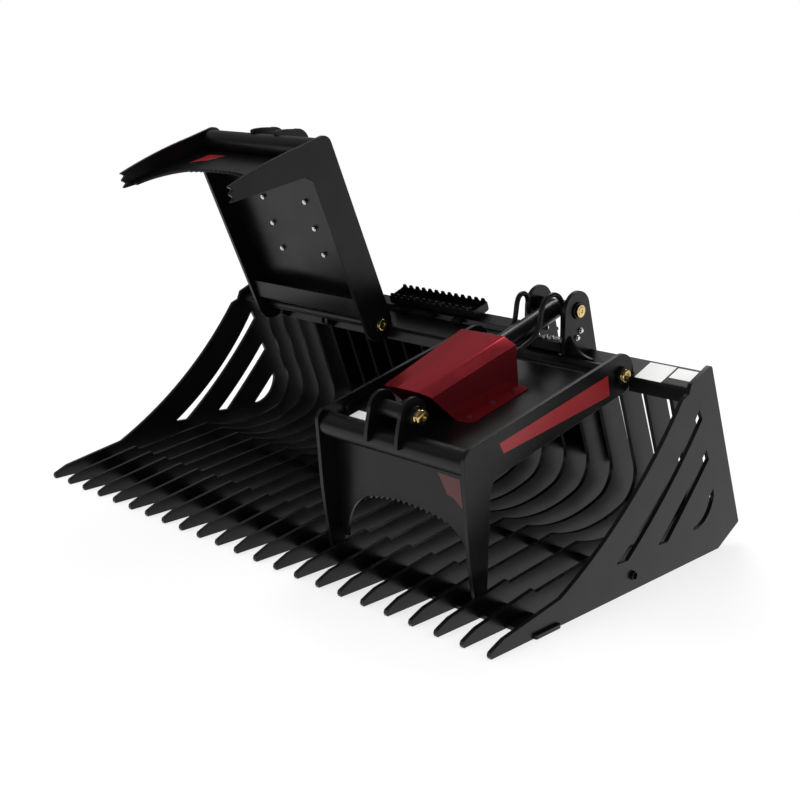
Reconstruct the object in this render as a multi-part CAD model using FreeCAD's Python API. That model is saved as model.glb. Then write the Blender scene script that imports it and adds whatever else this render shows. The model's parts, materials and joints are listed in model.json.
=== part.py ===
import FreeCAD, Part
import math
import os

os.makedirs("parts", exist_ok=True)

# Skeleton rock grapple for a skid steer loader
# X runs across the bucket, tine tips point to -Y, Z is up, millimetres
# Origin is on the ground at mid width, straight below the grapple hinge axis
# The right grapple (+X) is closed at rest and the left one is fully open

# Bucket
WIDTH = 1981.2
PLATE = 12.7
TINES = 23
PITCH = (WIDTH - PLATE) / (TINES - 1)
HINGE_Z = 535.0
HALF_INSIDE = WIDTH / 2 - PLATE

# Front edge bar and cross pipe
BAR_DEPTH = 101.6
BAR_FRONT = -640.0
BAR_PROUD = 10.0
BAR_CORNER_R = 6.0
PIPE_Y = -213.0
PIPE_Z = 46.0
PIPE_R = 12.7
PIPE_WALL = 3.2
PIPE_PROUD = 9.0
SEAT = 0.05

# Back edge of all bottom plates, from the heel chamfer to the beam
HEEL_Y = 335.0
HEEL_Z = 57.0
HEEL_FOOT_Y = 228.0
BACK_SLOPE = 0.3965

# Tine tips: flat ground part, blunt nose, sloping top and its ground edges
TIP_TOP_REAR = (-531.0, 75.0)
TIP_STEP = (-521.0, 63.0)
TIP_TOP = (-755.0, 38.0)
TIP_NOSE = [(-804.0, 18.0), (-806.0, 8.0), (-802.0, 0.0)]
TIP_BEVEL = 4.2
TIP_BEVEL_LOW = 3.0
TIP_BEVEL_END = 2.0
TIP_BEVEL_FADE = 0.2

# Inner edge of the tines: dished band, corner arc, sloping upright
DISH_Y = -48.5
DISH_FLOOR = 67.8
DISH_R = 516.0
DISH_Z = DISH_FLOOR + DISH_R
DISH_FRONT_Y = -217.0
CORNER_R = 90.0
UPRIGHT_Y = 257.3
UPRIGHT_SLOPE = 0.383

# Top beam, a bent plate
BEAM_T = 9.5
BEAM_LIP_Y = 37.0
BEAM_LIP_Z = 520.0
BEAM_FLANGE = 40.0
BEAM_BEND = 6.0
ARM_SLOT_ROOM = 2.5
BEAM_REAR_Y = 132.0
BEAM_REAR_Z = 555.0
BEAM_TILT = math.atan2(BEAM_REAR_Z - BEAM_LIP_Z, BEAM_REAR_Y - BEAM_LIP_Y)

# Loader attachment plate on the back
ATTACH_HALF = 562.0
ATTACH_T = 9.5
ATTACH_LOW = 92.0
ATTACH_HIGH = 470.0
ATTACH_LEDGE = 62.0
ATTACH_FOLD = 8.0
HOOK_RISE = 16.0
HOOK_DEPTH = 58.0
LOCK_SLOT_EDGE = 42.0
LOCK_SLOT_X = ATTACH_HALF - LOCK_SLOT_EDGE
LOCK_SLOT_LENGTH = 66.0
LOCK_SLOT_WIDTH = 34.0

# Grapples
GRAPPLE_HALF = 282.5
GRAPPLE_ROOM = 202.9
GRAPPLE_X = HALF_INSIDE - GRAPPLE_ROOM - GRAPPLE_HALF
OPENING = 78.5
ARM_TILT = math.radians(12.4)
ARM_HALF = 60.0
HINGE_PIN_R = 12.7
RUNNING = 0.05
HUB_TUBE_R = 20.0
SIDE_GAP = 0.3
TOOTH = 12.0
TOOTH_ROOM = 0.4
TOE_TEETH = 3
TOE_DROP = 504.0
TOE_FRONT_Y = -618.0
TOE_REAR_Y = -569.0
NOSE_TOP = (-672.0, -86.0)
NOSE_R = 35.0
NOSE_LOW = (-660.0, -212.0)
FINGER_BOW = (-645.4, -356.0)
FINGER_REAR_BOW = (-566.5, -370.0)
FINGER_ROOT = (-564.0, -240.0)
THROAT = (-563.0, -185.0)
THROAT_R = 45.0
TOP_PLATE_T = 6.35
TOP_PLATE_H = 15.0
TOP_REAR = 66.0
TOP_FRONT = 612.0
TOP_FLANGE = 26.0
TOP_FLANGE_FRONT = 574.0
FRONT_TUBE_R = 26.0
FRONT_TUBE_Y = -630.0
FRONT_TUBE_Z = -118.0
FRONT_TUBE_WALL = 5.0
CROSS_T = 8.0
ARCH_T = 9.5
ARCH_Y = -596.0
ARCH_LEAN = 3.6
ARCH_PIVOT = 250.0
ARCH_TOP = 116.0
ARCH_FOOT = 474.0
ARCH_CORNER = (12.0, 22.0)
ARCH_CROWN = 308.0
ARCH_SAG = 19.0
ARCH_SAW_HALF = 153.0
ARCH_SIDE = [(240.0, 474.0), (212.0, 375.0), (156.0, 327.0)]
SAW_PITCH = 22.0
SAW_DEPTH = 9.0
HEAD_R = 20.5
HEAD_PROUD = 22.0

# Cylinder, its ears and pins, relative to the hinge axis, grapple closed
EAR_PITCH = 142.5
EAR_R = 59.0
EAR_GUSSET_Y = 15.0
EAR_FALL = math.radians(24.0)
EAR_TAIL = [(161, 546, 6), (150, 530, 6)]
EAR_TAIL_LIP = 4.0
SADDLE_OUT = 232.0
SADDLE_IN = 20.0
FRONT_EAR_R = 50.0
FRONT_EAR_PITCH = 115.5
FRONT_EAR_SHIFT = -13.5
EAR_HOOK = 20.0
EAR_HOOK_DROP = 10.0
REAR_PIN_Y = 59.0
REAR_PIN_Z = 148.0
FRONT_PIN_Y = -613.0
FRONT_PIN_Z = -43.0
PIN_R = 12.7
PIN_HEAD_R = 16.5
PIN_HEAD = 14.0
FRONT_HEAD_R = 21.0
FRONT_HEAD = 38.0
BARREL_R = 29.0
BORE_R = 25.4
ROD_R = 15.9
ROD_EYE_R = 25.0
ROD_COLLAR = 12.0
BARREL_EYE_R = 25.0
GLAND_LENGTH = 22.0
GLAND_SPIGOT = 40.0
CLOSED_GAP = 38.08
BORE_START = 46.0
BORE_RESERVE = 6.08
PISTON_LENGTH = 30.0
PORT_R = 9.0
PORT_ARM_R = 7.0
CAP_PORT = 66.0
ROD_PORT = 360.0

# Guard over the cylinder
GUARD_T = 4.0
GUARD_SHIFT = -12.0
GUARD_EDGE = 134.0
GUARD_REAR = 213.0
GUARD_FRONT = 468.0
GUARD_REAR_LEAN = -0.11
GUARD_FRONT_LEAN = 0.79
GUARD_REAR_SECTION = [(-104, TOP_PLATE_H), (-104, 149), (-68, 155), (35, 155), (77, 137), (79, TOP_PLATE_H)]
GUARD_FRONT_SECTION = [(-98, TOP_PLATE_H), (-103, 128), (-48, 133), (35, 134.5), (68, 119), (66, TOP_PLATE_H)]
GUARD_INSET = [(1, -0.3), (1, -0.95), (0.05, -1), (-0.25, -1), (-1, -0.7), (-1, -0.3)]
BOLT_S = (245.0, 345.0, 445.0)
BOLT_X = (GUARD_SHIFT - 106.0, GUARD_SHIFT + 106.0)
BOLT_R = 5.0
BOLT_HEX = 18.0
BOLT_HEAD = 6.5
BOLT_NUT = 8.0

# Step on the beam
STEP_MID = -95.0
STEP_LENGTH = 380.0
STEP_WIDTH = 56.0
STEP_HEIGHT = 42.0
STEP_T = 4.0
STEP_LIFT = 13.0
STEP_TEETH = 13
STEP_TOOTH = 12.0
STEP_Y = 152.0
STEP_BOLT_PITCH = 120.0
STEP_BOLT_X = (STEP_MID - STEP_BOLT_PITCH, STEP_MID, STEP_MID + STEP_BOLT_PITCH)
STEP_BLOCK_HALF = 18.0
STEP_BLOCK_Y = (-48.0, -11.0, 20.0)
BLOCK_FOOT = 12.0
HOLE_ROOM = 0.3

# Valve block between the rear ears, hose ends and hoses
BLOCK_HALF = 56.0
BLOCK_Y = (8.0, 50.0)
BLOCK_Z = (23.0, 53.0)
BLOCK_STAND_Y = 38.0
BLOCK_STAND_HALF = 20.0
HOSE_R = 6.35
HOSE_X = 48.0
HOSE_DROP = 20.0
FERRULE_R = 8.0
FERRULE = 35.0
STEM_TOP = 68.0
STEM_Y = 27.0
HOSE_LEAD = 33.0
STEM_NUT = 22.0
STEM_NUT_H = 8.0
PLUG_X = (-24.0, 0.0, 24.0)
PLUG_Y = 34.0
PLUG_HEX = 19.0
PLUG_HEX_H = 11.0
EAR_PLUGS = ((74.0, 86.0), (58.0, 66.0))
EAR_PLUG_R = 6.0
EAR_PLUG_H = 8.0
EAR_PLUG_FLANGE = 3.0
PORT_NUT = 21.0
PORT_NUT_H = 9.0

# Hose routes, corners as (x out from the hose's own plane, y, z over the hinge
# axis) between the straight lead over the stem and the one behind the ferrule
NEAR_ROUTE = [(0, 25.5, 135), (0, 23, 169), (0, 3.9, 195.6), (0, -27, 205.6), (0, -57.9, 195.6),
              (0, -77, 169.3), (0, -82, 137), (0, -92, 107), (0, -116, 85), (0, -148, 73), (0, -182, 62)]
FAR_ROUTE = [(4, 12, 117), (7, -6, 134), (8, -12, 155), (8, -12, 175), (6, -23.8, 191.4),
             (4, -43, 197.6), (2, -62.2, 191.4), (0, -74, 175), (-1, -80, 153), (-1, -88, 129),
             (-0.5, -102, 106), (0, -126, 89), (0, -156, 76.5), (0, -186, 62.5)]


def vec(x, y, z):
    return FreeCAD.Vector(x, y, z)


def wire(points, closed=True):
    """Wire in the YZ plane from (y, z) corners, (y, z, r) rounded corners
    and ("via", y, z) entries that bend the edge between two corners."""
    corners = []
    bends = {}
    for item in points:
        if item[0] == "via":
            bends[len(corners) - 1] = vec(0, item[1], item[2])
        else:
            radius = item[2] if len(item) > 2 else 0.0
            corners.append((vec(0, item[0], item[1]), radius))
    count = len(corners)
    entry = []
    leave = []
    middle = []
    for index, (corner, radius) in enumerate(corners):
        if radius <= 0:
            entry.append(corner)
            leave.append(corner)
            middle.append(None)
            continue
        before = corners[index - 1][0].sub(corner).normalize()
        after = corners[(index + 1) % count][0].sub(corner).normalize()
        half = before.getAngle(after) / 2
        reach = radius / math.tan(half)
        bisector = before.add(after).normalize()
        centre = corner.add(bisector * (radius / math.sin(half)))
        entry.append(corner.add(before * reach))
        leave.append(corner.add(after * reach))
        middle.append(centre.sub(bisector * radius))
    edges = []
    for index in range(count):
        if middle[index] is not None:
            edges.append(Part.Arc(entry[index], middle[index], leave[index]).toShape())
        if not closed and index == count - 1:
            break
        start = leave[index]
        end = entry[(index + 1) % count]
        if start.sub(end).Length < 0.001:
            continue
        if index in bends:
            edges.append(Part.Arc(start, bends[index], end).toShape())
        else:
            edges.append(Part.LineSegment(start, end).toShape())
    return Part.Wire(edges)


def plate(points, x_low, thickness):
    """Flat plate normal to X, cut to a YZ outline."""
    face = Part.Face(wire(points))
    face.translate(vec(x_low, 0, 0))
    return face.extrude(vec(thickness, 0, 0))


def rod_x(y, z, radius, x_low, x_high):
    return Part.makeCylinder(radius, x_high - x_low, vec(x_low, y, z), vec(1, 0, 0))


def tube_x(y, z, radius, bore, x_low, x_high):
    return rod_x(y, z, radius, x_low, x_high).cut(rod_x(y, z, bore, x_low - 1, x_high + 1))


def box(x0, x1, y0, y1, z0, z1):
    return Part.makeBox(x1 - x0, y1 - y0, z1 - z0, vec(x0, y0, z0))


def bent_outline(line, thickness, radius):
    """Outline of a folded sheet: line is its outer path, the sheet lies to the
    left of it, and every fold has the given inside radius."""
    count = len(line)
    offset = []
    turn = []
    for index in range(count):
        if index in (0, count - 1):
            near = line[1] if index == 0 else line[count - 2]
            here = line[index]
            dy = (near[0] - here[0]) if index == 0 else (here[0] - near[0])
            dz = (near[1] - here[1]) if index == 0 else (here[1] - near[1])
            size = math.hypot(dy, dz)
            offset.append((here[0] - dz / size * thickness, here[1] + dy / size * thickness))
            turn.append(0)
            continue
        a = line[index - 1]
        b = line[index]
        c = line[index + 1]
        first = math.atan2(b[1] - a[1], b[0] - a[0])
        second = math.atan2(c[1] - b[1], c[0] - b[0])
        bend = (second - first + math.pi) % (2 * math.pi) - math.pi
        way = first + bend / 2 + math.pi / 2
        reach = thickness / math.cos(bend / 2)
        offset.append((b[0] + reach * math.cos(way), b[1] + reach * math.sin(way)))
        turn.append(1 if bend > 0 else -1)
    outer = []
    inner = []
    for index in range(count):
        if turn[index] == 0:
            outer.append(line[index])
            inner.append(offset[index])
        elif turn[index] > 0:
            outer.append((line[index][0], line[index][1], radius + thickness))
            inner.append((offset[index][0], offset[index][1], radius))
        else:
            outer.append((line[index][0], line[index][1], radius))
            inner.append((offset[index][0], offset[index][1], radius + thickness))
    return outer + inner[::-1]


def back_y(z):
    return HEEL_Y - BACK_SLOPE * (z - HEEL_Z)


def beam_top(y):
    return BEAM_LIP_Z + math.tan(BEAM_TILT) * (y - BEAM_LIP_Y)


def beam_under(y):
    return beam_top(y) - BEAM_T / math.cos(BEAM_TILT)


# Bottom plates

def tip_outline():
    """Underside and nose from the heel forward to the tip's top, in order."""
    return [TIP_TOP + (12,)] + TIP_NOSE


def tip_bevels(x_low):
    """Two wedges that take the top edges off a tine's tip, both sides."""
    cuts = []
    tip = TIP_NOSE[1][0] - TIP_BEVEL_END
    root = TIP_TOP[0] - TIP_BEVEL_END
    for side in (-1, 1):
        edge = x_low + (PLATE if side > 0 else 0)
        out = edge + side
        top = TIP_TOP[1] + TIP_BEVEL_END
        low = [vec(out, tip, TIP_BEVEL_LOW), vec(edge - side * TIP_BEVEL, tip, top), vec(out, tip, top)]
        fade = edge - side * TIP_BEVEL_FADE
        high = [vec(out, root, TIP_TOP[1] - 1.5), vec(fade, root, top + 1), vec(out, root, top + 1)]
        rings = [Part.makePolygon(ring + ring[:1]) for ring in (low, high)]
        cuts.append(Part.makeLoft(rings, True))
    return cuts


def bottom_cutouts(x_low):
    """Notch for the front bar, seat hole for the cross pipe, ground tip edges."""
    front = BAR_FRONT - SEAT
    notch = box(x_low - 1, x_low + PLATE + 1, front, front + BAR_DEPTH + 2 * SEAT, -1, PLATE + SEAT)
    hole = rod_x(PIPE_Y, PIPE_Z, PIPE_R + SEAT, x_low - 1, x_low + PLATE + 1)
    return [notch, hole] + tip_bevels(x_low)


def corner_centre():
    """Centre of the inner corner arc: it touches the dished band arc from
    inside and the straight upright edge."""
    along = (-UPRIGHT_SLOPE / math.hypot(UPRIGHT_SLOPE, 1), 1 / math.hypot(UPRIGHT_SLOPE, 1))
    start = (UPRIGHT_Y - CORNER_R * along[1], CORNER_R * along[0])
    reach = DISH_R - CORNER_R
    dy = start[0] - DISH_Y
    dz = start[1] - DISH_Z
    middle = dy * along[0] + dz * along[1]
    root = -middle - math.sqrt(middle * middle - (dy * dy + dz * dz - reach * reach))
    return (start[0] + along[0] * root, start[1] + along[1] * root), along


def inner_edge():
    """Path entries from the dish's front end to the beam's underside."""
    (cy, cz), along = corner_centre()
    join = (cy - DISH_Y, cz - DISH_Z)
    size = math.hypot(*join)
    meet = (DISH_Y + join[0] / size * DISH_R, DISH_Z + join[1] / size * DISH_R)
    touch = (cy + CORNER_R * along[1], cz - CORNER_R * along[0])
    angle_a = math.atan2(meet[1] - cz, meet[0] - cy)
    angle_b = math.atan2(touch[1] - cz, touch[0] - cy)
    middle = (angle_a + angle_b) / 2
    via = (cy + CORNER_R * math.cos(middle), cz + CORNER_R * math.sin(middle))
    start = (DISH_FRONT_Y, DISH_Z - math.sqrt(DISH_R ** 2 - (DISH_FRONT_Y - DISH_Y) ** 2))
    low = ("via", DISH_Y, DISH_FLOOR)
    return [start, low, meet, ("via", via[0], via[1]), touch]


def tine_outline():
    top_slope = math.tan(BEAM_TILT)
    base = beam_under(0.0)
    front_z = (base + top_slope * UPRIGHT_Y) / (1 + top_slope * UPRIGHT_SLOPE)
    front_y = UPRIGHT_Y - UPRIGHT_SLOPE * front_z
    rear_z = (base + top_slope * (HEEL_Y + BACK_SLOPE * HEEL_Z)) / (1 + top_slope * BACK_SLOPE)
    rear_y = back_y(rear_z)
    points = [TIP_TOP_REAR, TIP_STEP + (6,)] + inner_edge()
    points += [(front_y, front_z), (rear_y, rear_z), (HEEL_Y, HEEL_Z), (HEEL_FOOT_Y, 0)]
    return points + tip_outline()[::-1]


def tine(index):
    x_low = -WIDTH / 2 + PITCH * index
    return plate(tine_outline(), x_low, PLATE).cut(bottom_cutouts(x_low))


END_TOP = [(127.2, 581.1, 15), (30, 541, 3), (19, 513, 3), (-10, 502)]
END_BOW = ("via", -259, 245)
END_SLOT_R = 3.0
END_SLOTS = (
    [(-295, 99, 4), ("via", -88, 258), (78, 459), (96, 426), ("via", -60, 250), (-238, 95, 4)],
    [(-97, 100, 4), ("via", 20.5, 209.6), (128, 330), (144, 296), ("via", 49.5, 194.6), (-48, 96, 4)],
    [(81, 99, 3), ("via", 130, 149), (179, 201), (184, 178), ("via", 158, 122), (90, 94)],
)


def arc_slot(points, x_low):
    plain = [p if p[0] == "via" else p[:2] for p in points]
    solid = plate(plain, x_low - 1, PLATE + 2)
    along_x = [e for e in solid.Edges if abs(e.tangentAt(e.FirstParameter).x) > 0.99]
    return solid.makeFillet(END_SLOT_R, along_x)


def end_plate(side):
    x_low = -WIDTH / 2 if side < 0 else WIDTH / 2 - PLATE
    points = [(HEEL_FOOT_Y, 0), (HEEL_Y, HEEL_Z, 4)] + END_TOP + [END_BOW, TIP_TOP_REAR]
    solid = plate(points + tip_outline(), x_low, PLATE)
    return solid.cut([arc_slot(s, x_low) for s in END_SLOTS] + bottom_cutouts(x_low))


def front_bar():
    half = WIDTH / 2 + BAR_PROUD
    bar = box(-half, half, BAR_FRONT, BAR_FRONT + BAR_DEPTH, 0, PLATE)
    return bar.makeFillet(BAR_CORNER_R, [e for e in bar.Edges if abs(e.tangentAt(0).z) > 0.99])


def cross_pipe():
    half = WIDTH / 2 + PIPE_PROUD
    return tube_x(PIPE_Y, PIPE_Z, PIPE_R, PIPE_R - PIPE_WALL, -half, half)


# Top beam and rear structure

def beam_point(y, lift):
    """Point at a height above the beam's sloping top, in (y, z)."""
    return (y - lift * math.sin(BEAM_TILT), beam_top(y) + lift * math.cos(BEAM_TILT))


def hub_xs():
    """Low X faces of the four grapple side plates."""
    xs = []
    for centre in (-GRAPPLE_X, GRAPPLE_X):
        xs += [centre - GRAPPLE_HALF, centre + GRAPPLE_HALF - PLATE]
    return xs


def top_beam():
    line = [(BEAM_REAR_Y, BEAM_REAR_Z), (BEAM_LIP_Y, BEAM_LIP_Z), (BEAM_LIP_Y, BEAM_LIP_Z - BEAM_FLANGE)]
    beam = plate(bent_outline(line, BEAM_T, BEAM_BEND), -HALF_INSIDE, 2 * HALF_INSIDE)
    slots = []
    for x in hub_xs():
        low = x - ARM_SLOT_ROOM
        high = x + PLATE + ARM_SLOT_ROOM
        slots.append(box(low, high, 0, ARM_HALF + 4, BEAM_LIP_Z - 2 * BEAM_FLANGE, BEAM_REAR_Z + 5))
    return beam.cut(slots)


def attach_frame(p, q):
    """Point p along the back edge from the heel, q behind it, in (y, z)."""
    size = math.hypot(BACK_SLOPE, 1)
    up = (-BACK_SLOPE / size, 1 / size)
    rear = (1 / size, BACK_SLOPE / size)
    return (HEEL_Y + up[0] * p + rear[0] * q, HEEL_Z + up[1] * p + rear[1] * q)


def attach_plate():
    """One bent plate: bottom ledge with lock slots, flat back, hooked top."""
    line = [attach_frame(ATTACH_LOW + 8, ATTACH_LEDGE), attach_frame(ATTACH_LOW, SEAT),
            attach_frame(ATTACH_HIGH, SEAT), attach_frame(ATTACH_HIGH + HOOK_RISE, HOOK_DEPTH - HOOK_RISE),
            attach_frame(ATTACH_HIGH - HOOK_RISE + 2, HOOK_DEPTH)]
    back = plate(bent_outline(line[::-1], ATTACH_T, ATTACH_FOLD), -ATTACH_HALF, 2 * ATTACH_HALF)
    cuts = []
    for x in (-LOCK_SLOT_X, LOCK_SLOT_X):
        low = attach_frame(ATTACH_LOW - 30, 36)
        slot = box(x - LOCK_SLOT_LENGTH / 2, x + LOCK_SLOT_LENGTH / 2, -LOCK_SLOT_WIDTH / 2,
                   LOCK_SLOT_WIDTH / 2, 0, 70)
        slot.rotate(vec(0, 0, 0), vec(1, 0, 0), math.degrees(math.atan(BACK_SLOPE)))
        slot.translate(vec(0, low[0], low[1]))
        cuts.append(slot)
    return back.cut(cuts)


def attach_gussets():
    """Upright plates against the two ends of the back plate, its ledge and hook."""
    ribs = []
    for x in (-ATTACH_HALF - PLATE, ATTACH_HALF):
        points = [attach_frame(ATTACH_LOW, SEAT), attach_frame(ATTACH_LOW + 8, ATTACH_LEDGE - 4) + (6,),
                  attach_frame(ATTACH_LOW + 150, 30), attach_frame(ATTACH_HIGH - 60, 30),
                  attach_frame(ATTACH_HIGH - HOOK_RISE + 2, HOOK_DEPTH) + (6,),
                  attach_frame(ATTACH_HIGH + HOOK_RISE, HOOK_DEPTH - HOOK_RISE) + (6,),
                  attach_frame(ATTACH_HIGH, SEAT)]
        ribs.append(plate(points, x, PLATE))
    return Part.makeCompound(ribs)


def hinge_tube(centre):
    half = GRAPPLE_HALF - PLATE - SIDE_GAP
    return tube_x(0, HINGE_Z, HUB_TUBE_R, HINGE_PIN_R + RUNNING, centre - half, centre + half)


def hub_room(centre):
    """Cylinder just larger than the hinge tube, as long as the grapple is wide."""
    return rod_x(0, HINGE_Z, HUB_TUBE_R + SIDE_GAP, centre - GRAPPLE_HALF, centre + GRAPPLE_HALF)


def hinge_saddles(centre):
    """Short plates between the beam's front flange and the hinge tube."""
    saddles = []
    for shift in (-SADDLE_OUT, -SADDLE_IN, SADDLE_IN - PLATE, SADDLE_OUT - PLATE):
        points = [(BEAM_LIP_Y, BEAM_LIP_Z - 12), (BEAM_LIP_Y, BEAM_LIP_Z - BEAM_FLANGE), (4, HINGE_Z - 38),
                  (4, HINGE_Z - 10), (HUB_TUBE_R, HINGE_Z + 2)]
        saddle = plate(points, centre + shift, PLATE)
        saddles.append(saddle.cut(hub_room(centre)))
    return Part.makeCompound(saddles)


def rear_ears(centre):
    """Two plates that stand on the beam and hold the cylinder's rear pin."""
    ears = []
    py = REAR_PIN_Y
    pz = HINGE_Z + REAR_PIN_Z
    r = EAR_R

    def rim(angle):
        return (py + r * math.cos(angle), pz + r * math.sin(angle))

    crown = (math.pi / 2 + EAR_FALL) / 2
    tail_y = BEAM_REAR_Y + EAR_TAIL_LIP
    foot_y = BEAM_LIP_Y + 10
    points = [rim(math.pi), ("via",) + rim(math.pi * 0.75), rim(math.pi / 2)]
    points += [("via",) + rim(crown), rim(EAR_FALL)]
    points += EAR_TAIL + [(tail_y, EAR_TAIL[-1][1]), (tail_y, beam_top(tail_y)), (foot_y, beam_top(foot_y))]
    points += [(BEAM_LIP_Y - 6, BEAM_LIP_Z + 4), (py - r, HINGE_Z + 8)]
    for side in (-1, 1):
        x_low = centre + side * EAR_PITCH / 2 - PLATE / 2
        pin_hole = rod_x(py, pz, PIN_R + RUNNING, x_low - 1, x_low + PLATE + 1)
        ears.append(plate(points, x_low, PLATE).cut([hub_room(centre), pin_hole]))
        ears.append(ear_gusset(centre, side))
    return Part.makeCompound(ears)


def ear_gusset(centre, side):
    """Plate across the hinge tube that braces an ear, with a hollow upper edge."""
    x = centre + side * (EAR_PITCH / 2 + PLATE / 2)

    def spot(out, z):
        return vec(x + side * out, EAR_GUSSET_Y, HINGE_Z + z)

    edges = [Part.LineSegment(spot(0, -15), spot(0, 78)).toShape(),
             Part.Arc(spot(0, 78), spot(34, 41), spot(88, 22)).toShape(),
             Part.LineSegment(spot(88, 22), spot(92, -15)).toShape(),
             Part.LineSegment(spot(92, -15), spot(0, -15)).toShape()]
    return Part.Face(Part.Wire(edges)).extrude(vec(0, PLATE, 0)).cut(hub_room(centre))


def headed_pin(y, z, radius, head_radius, head, x_low, x_high, side):
    """Pin with a grooved, chamfered head on one end; side tells which end."""
    shank = rod_x(y, z, radius, x_low, x_high)
    base = x_high if side > 0 else x_low

    def disc(share, start, end):
        """Disc of the head: share of its radius, from and to in shares of its length."""
        at = vec(base + side * head * start, y, z)
        return Part.makeCylinder(head_radius * share, head * (end - start), at, vec(side, 0, 0))

    cap = disc(0.86, 0.6, 1.0)
    outer = max(cap.Edges, key=lambda e: side * e.CenterOfMass.x)
    cap = cap.makeChamfer(head * 0.12, [outer])
    solid = shank.fuse([disc(1.0, 0.0, 0.45), disc(0.72, 0.45, 0.6), cap]).removeSplitter()
    return solid.cut(disc(0.32, 0.85, 1.07))


def rear_pins(centre):
    """Pin ends in the two rear ears, flush with the ears' inner faces."""
    pins = []
    for side in (-1, 1):
        inner = centre + side * (EAR_PITCH / 2 - PLATE / 2)
        outer = centre + side * (EAR_PITCH / 2 + PLATE / 2)
        low, high = min(inner, outer), max(inner, outer)
        pin_z = HINGE_Z + REAR_PIN_Z
        pins.append(headed_pin(REAR_PIN_Y, pin_z, PIN_R, PIN_HEAD_R, PIN_HEAD, low, high, side))
    return Part.makeCompound(pins)


def hex_head(x, y, z, across, height, axis):
    """Six sided prism on a point, along an axis in the YZ plane."""
    side = axis.cross(vec(1, 0, 0))
    corners = []
    for step in range(7):
        angle = math.radians(60 * step)
        reach = vec(1, 0, 0) * (across / 2 * math.cos(angle)) + side * (across / 2 * math.sin(angle))
        corners.append(vec(x, y, z).add(reach))
    return Part.Face(Part.makePolygon(corners)).extrude(axis * height)


def step_tread():
    """Upturned channel with saw teeth along both flanges."""
    half = STEP_WIDTH / 2
    line = [(half, STEP_HEIGHT), (half, 0), (-half, 0), (-half, STEP_HEIGHT)]
    channel = plate(bent_outline(line[::-1], STEP_T, 3.0), STEP_MID - STEP_LENGTH / 2, STEP_LENGTH)
    cuts = []
    pitch = STEP_LENGTH / STEP_TEETH
    root = STEP_HEIGHT - STEP_TOOTH
    for index in range(STEP_TEETH + 1):
        x = STEP_MID - STEP_LENGTH / 2 + pitch * index
        corners = [(x - pitch * 0.34, STEP_HEIGHT + 1), (x - pitch * 0.2, root + 3), (x - pitch * 0.1, root),
                   (x + pitch * 0.1, root), (x + pitch * 0.2, root + 3), (x + pitch * 0.34, STEP_HEIGHT + 1)]
        notch = Part.makePolygon([vec(cx, -STEP_WIDTH, cz) for cx, cz in corners + corners[:1]])
        cuts.append(Part.Face(notch).extrude(vec(0, 2 * STEP_WIDTH, 0)))
    for x in STEP_BOLT_X:
        cuts.append(Part.makeCylinder(BOLT_R + HOLE_ROOM, 20, vec(x, 0, -5), vec(0, 0, 1)))
    return place_on_beam(channel.cut(cuts), STEP_Y, STEP_LIFT)


def step_ends():
    """Plates that close the channel at both ends, up to the roots of its teeth."""
    half = STEP_WIDTH / 2 - STEP_T
    plates = []
    for x in (STEP_MID - STEP_LENGTH / 2, STEP_MID + STEP_LENGTH / 2 - STEP_T):
        points = [(-half, STEP_T, 3.4), (half, STEP_T, 3.4), (half, STEP_HEIGHT - STEP_TOOTH - 1),
                  (-half, STEP_HEIGHT - STEP_TOOTH - 1)]
        plates.append(place_on_beam(plate(points, x, STEP_T), STEP_Y, STEP_LIFT))
    return Part.makeCompound(plates)


def place_on_beam(shape, y, lift):
    """Tilt a shape built round the origin onto the beam's sloping top."""
    shape = shape.copy()
    shape.rotate(vec(0, 0, 0), vec(1, 0, 0), math.degrees(BEAM_TILT))
    point = beam_point(y, lift)
    shape.translate(vec(0, point[0], point[1]))
    return shape


def step_brackets():
    """Blocks that carry the step from the beam's rear edge."""
    blocks = []
    for x in STEP_BOLT_X:
        low, high = x - STEP_BLOCK_HALF, x + STEP_BLOCK_HALF
        block = box(low, high, STEP_BLOCK_Y[0], STEP_BLOCK_Y[2], -STEP_LIFT, 0)
        rear = box(low, high, STEP_BLOCK_Y[1], STEP_BLOCK_Y[2], -STEP_LIFT - BLOCK_FOOT, -STEP_LIFT)
        hole = Part.makeCylinder(BOLT_R + HOLE_ROOM, 60, vec(x, 0, -40), vec(0, 0, 1))
        blocks.append(place_on_beam(block.fuse(rear).removeSplitter().cut(hole), STEP_Y, STEP_LIFT))
    return Part.makeCompound(blocks)


# Hydraulic fittings and hoses

def valve_block(centre):
    """Block between the rear ears on a foot that stands on the beam."""
    y0, y1 = BLOCK_Y
    z0, z1 = HINGE_Z + BLOCK_Z[0], HINGE_Z + BLOCK_Z[1]
    body = box(centre - BLOCK_HALF, centre + BLOCK_HALF, y0, y1, z0, z1)
    long_edges = [e for e in body.Edges if abs(e.tangentAt(0).x) > 0.99]
    body = body.makeChamfer(3.0, long_edges)
    y_foot = BLOCK_STAND_Y
    stand = [(y_foot, beam_top(y_foot)), (y1, beam_top(y1)), (y1, z0 + 8), (y_foot, z0 + 8)]
    foot = plate(stand, centre - BLOCK_STAND_HALF, 2 * BLOCK_STAND_HALF)
    return body.fuse(foot).removeSplitter()


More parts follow.
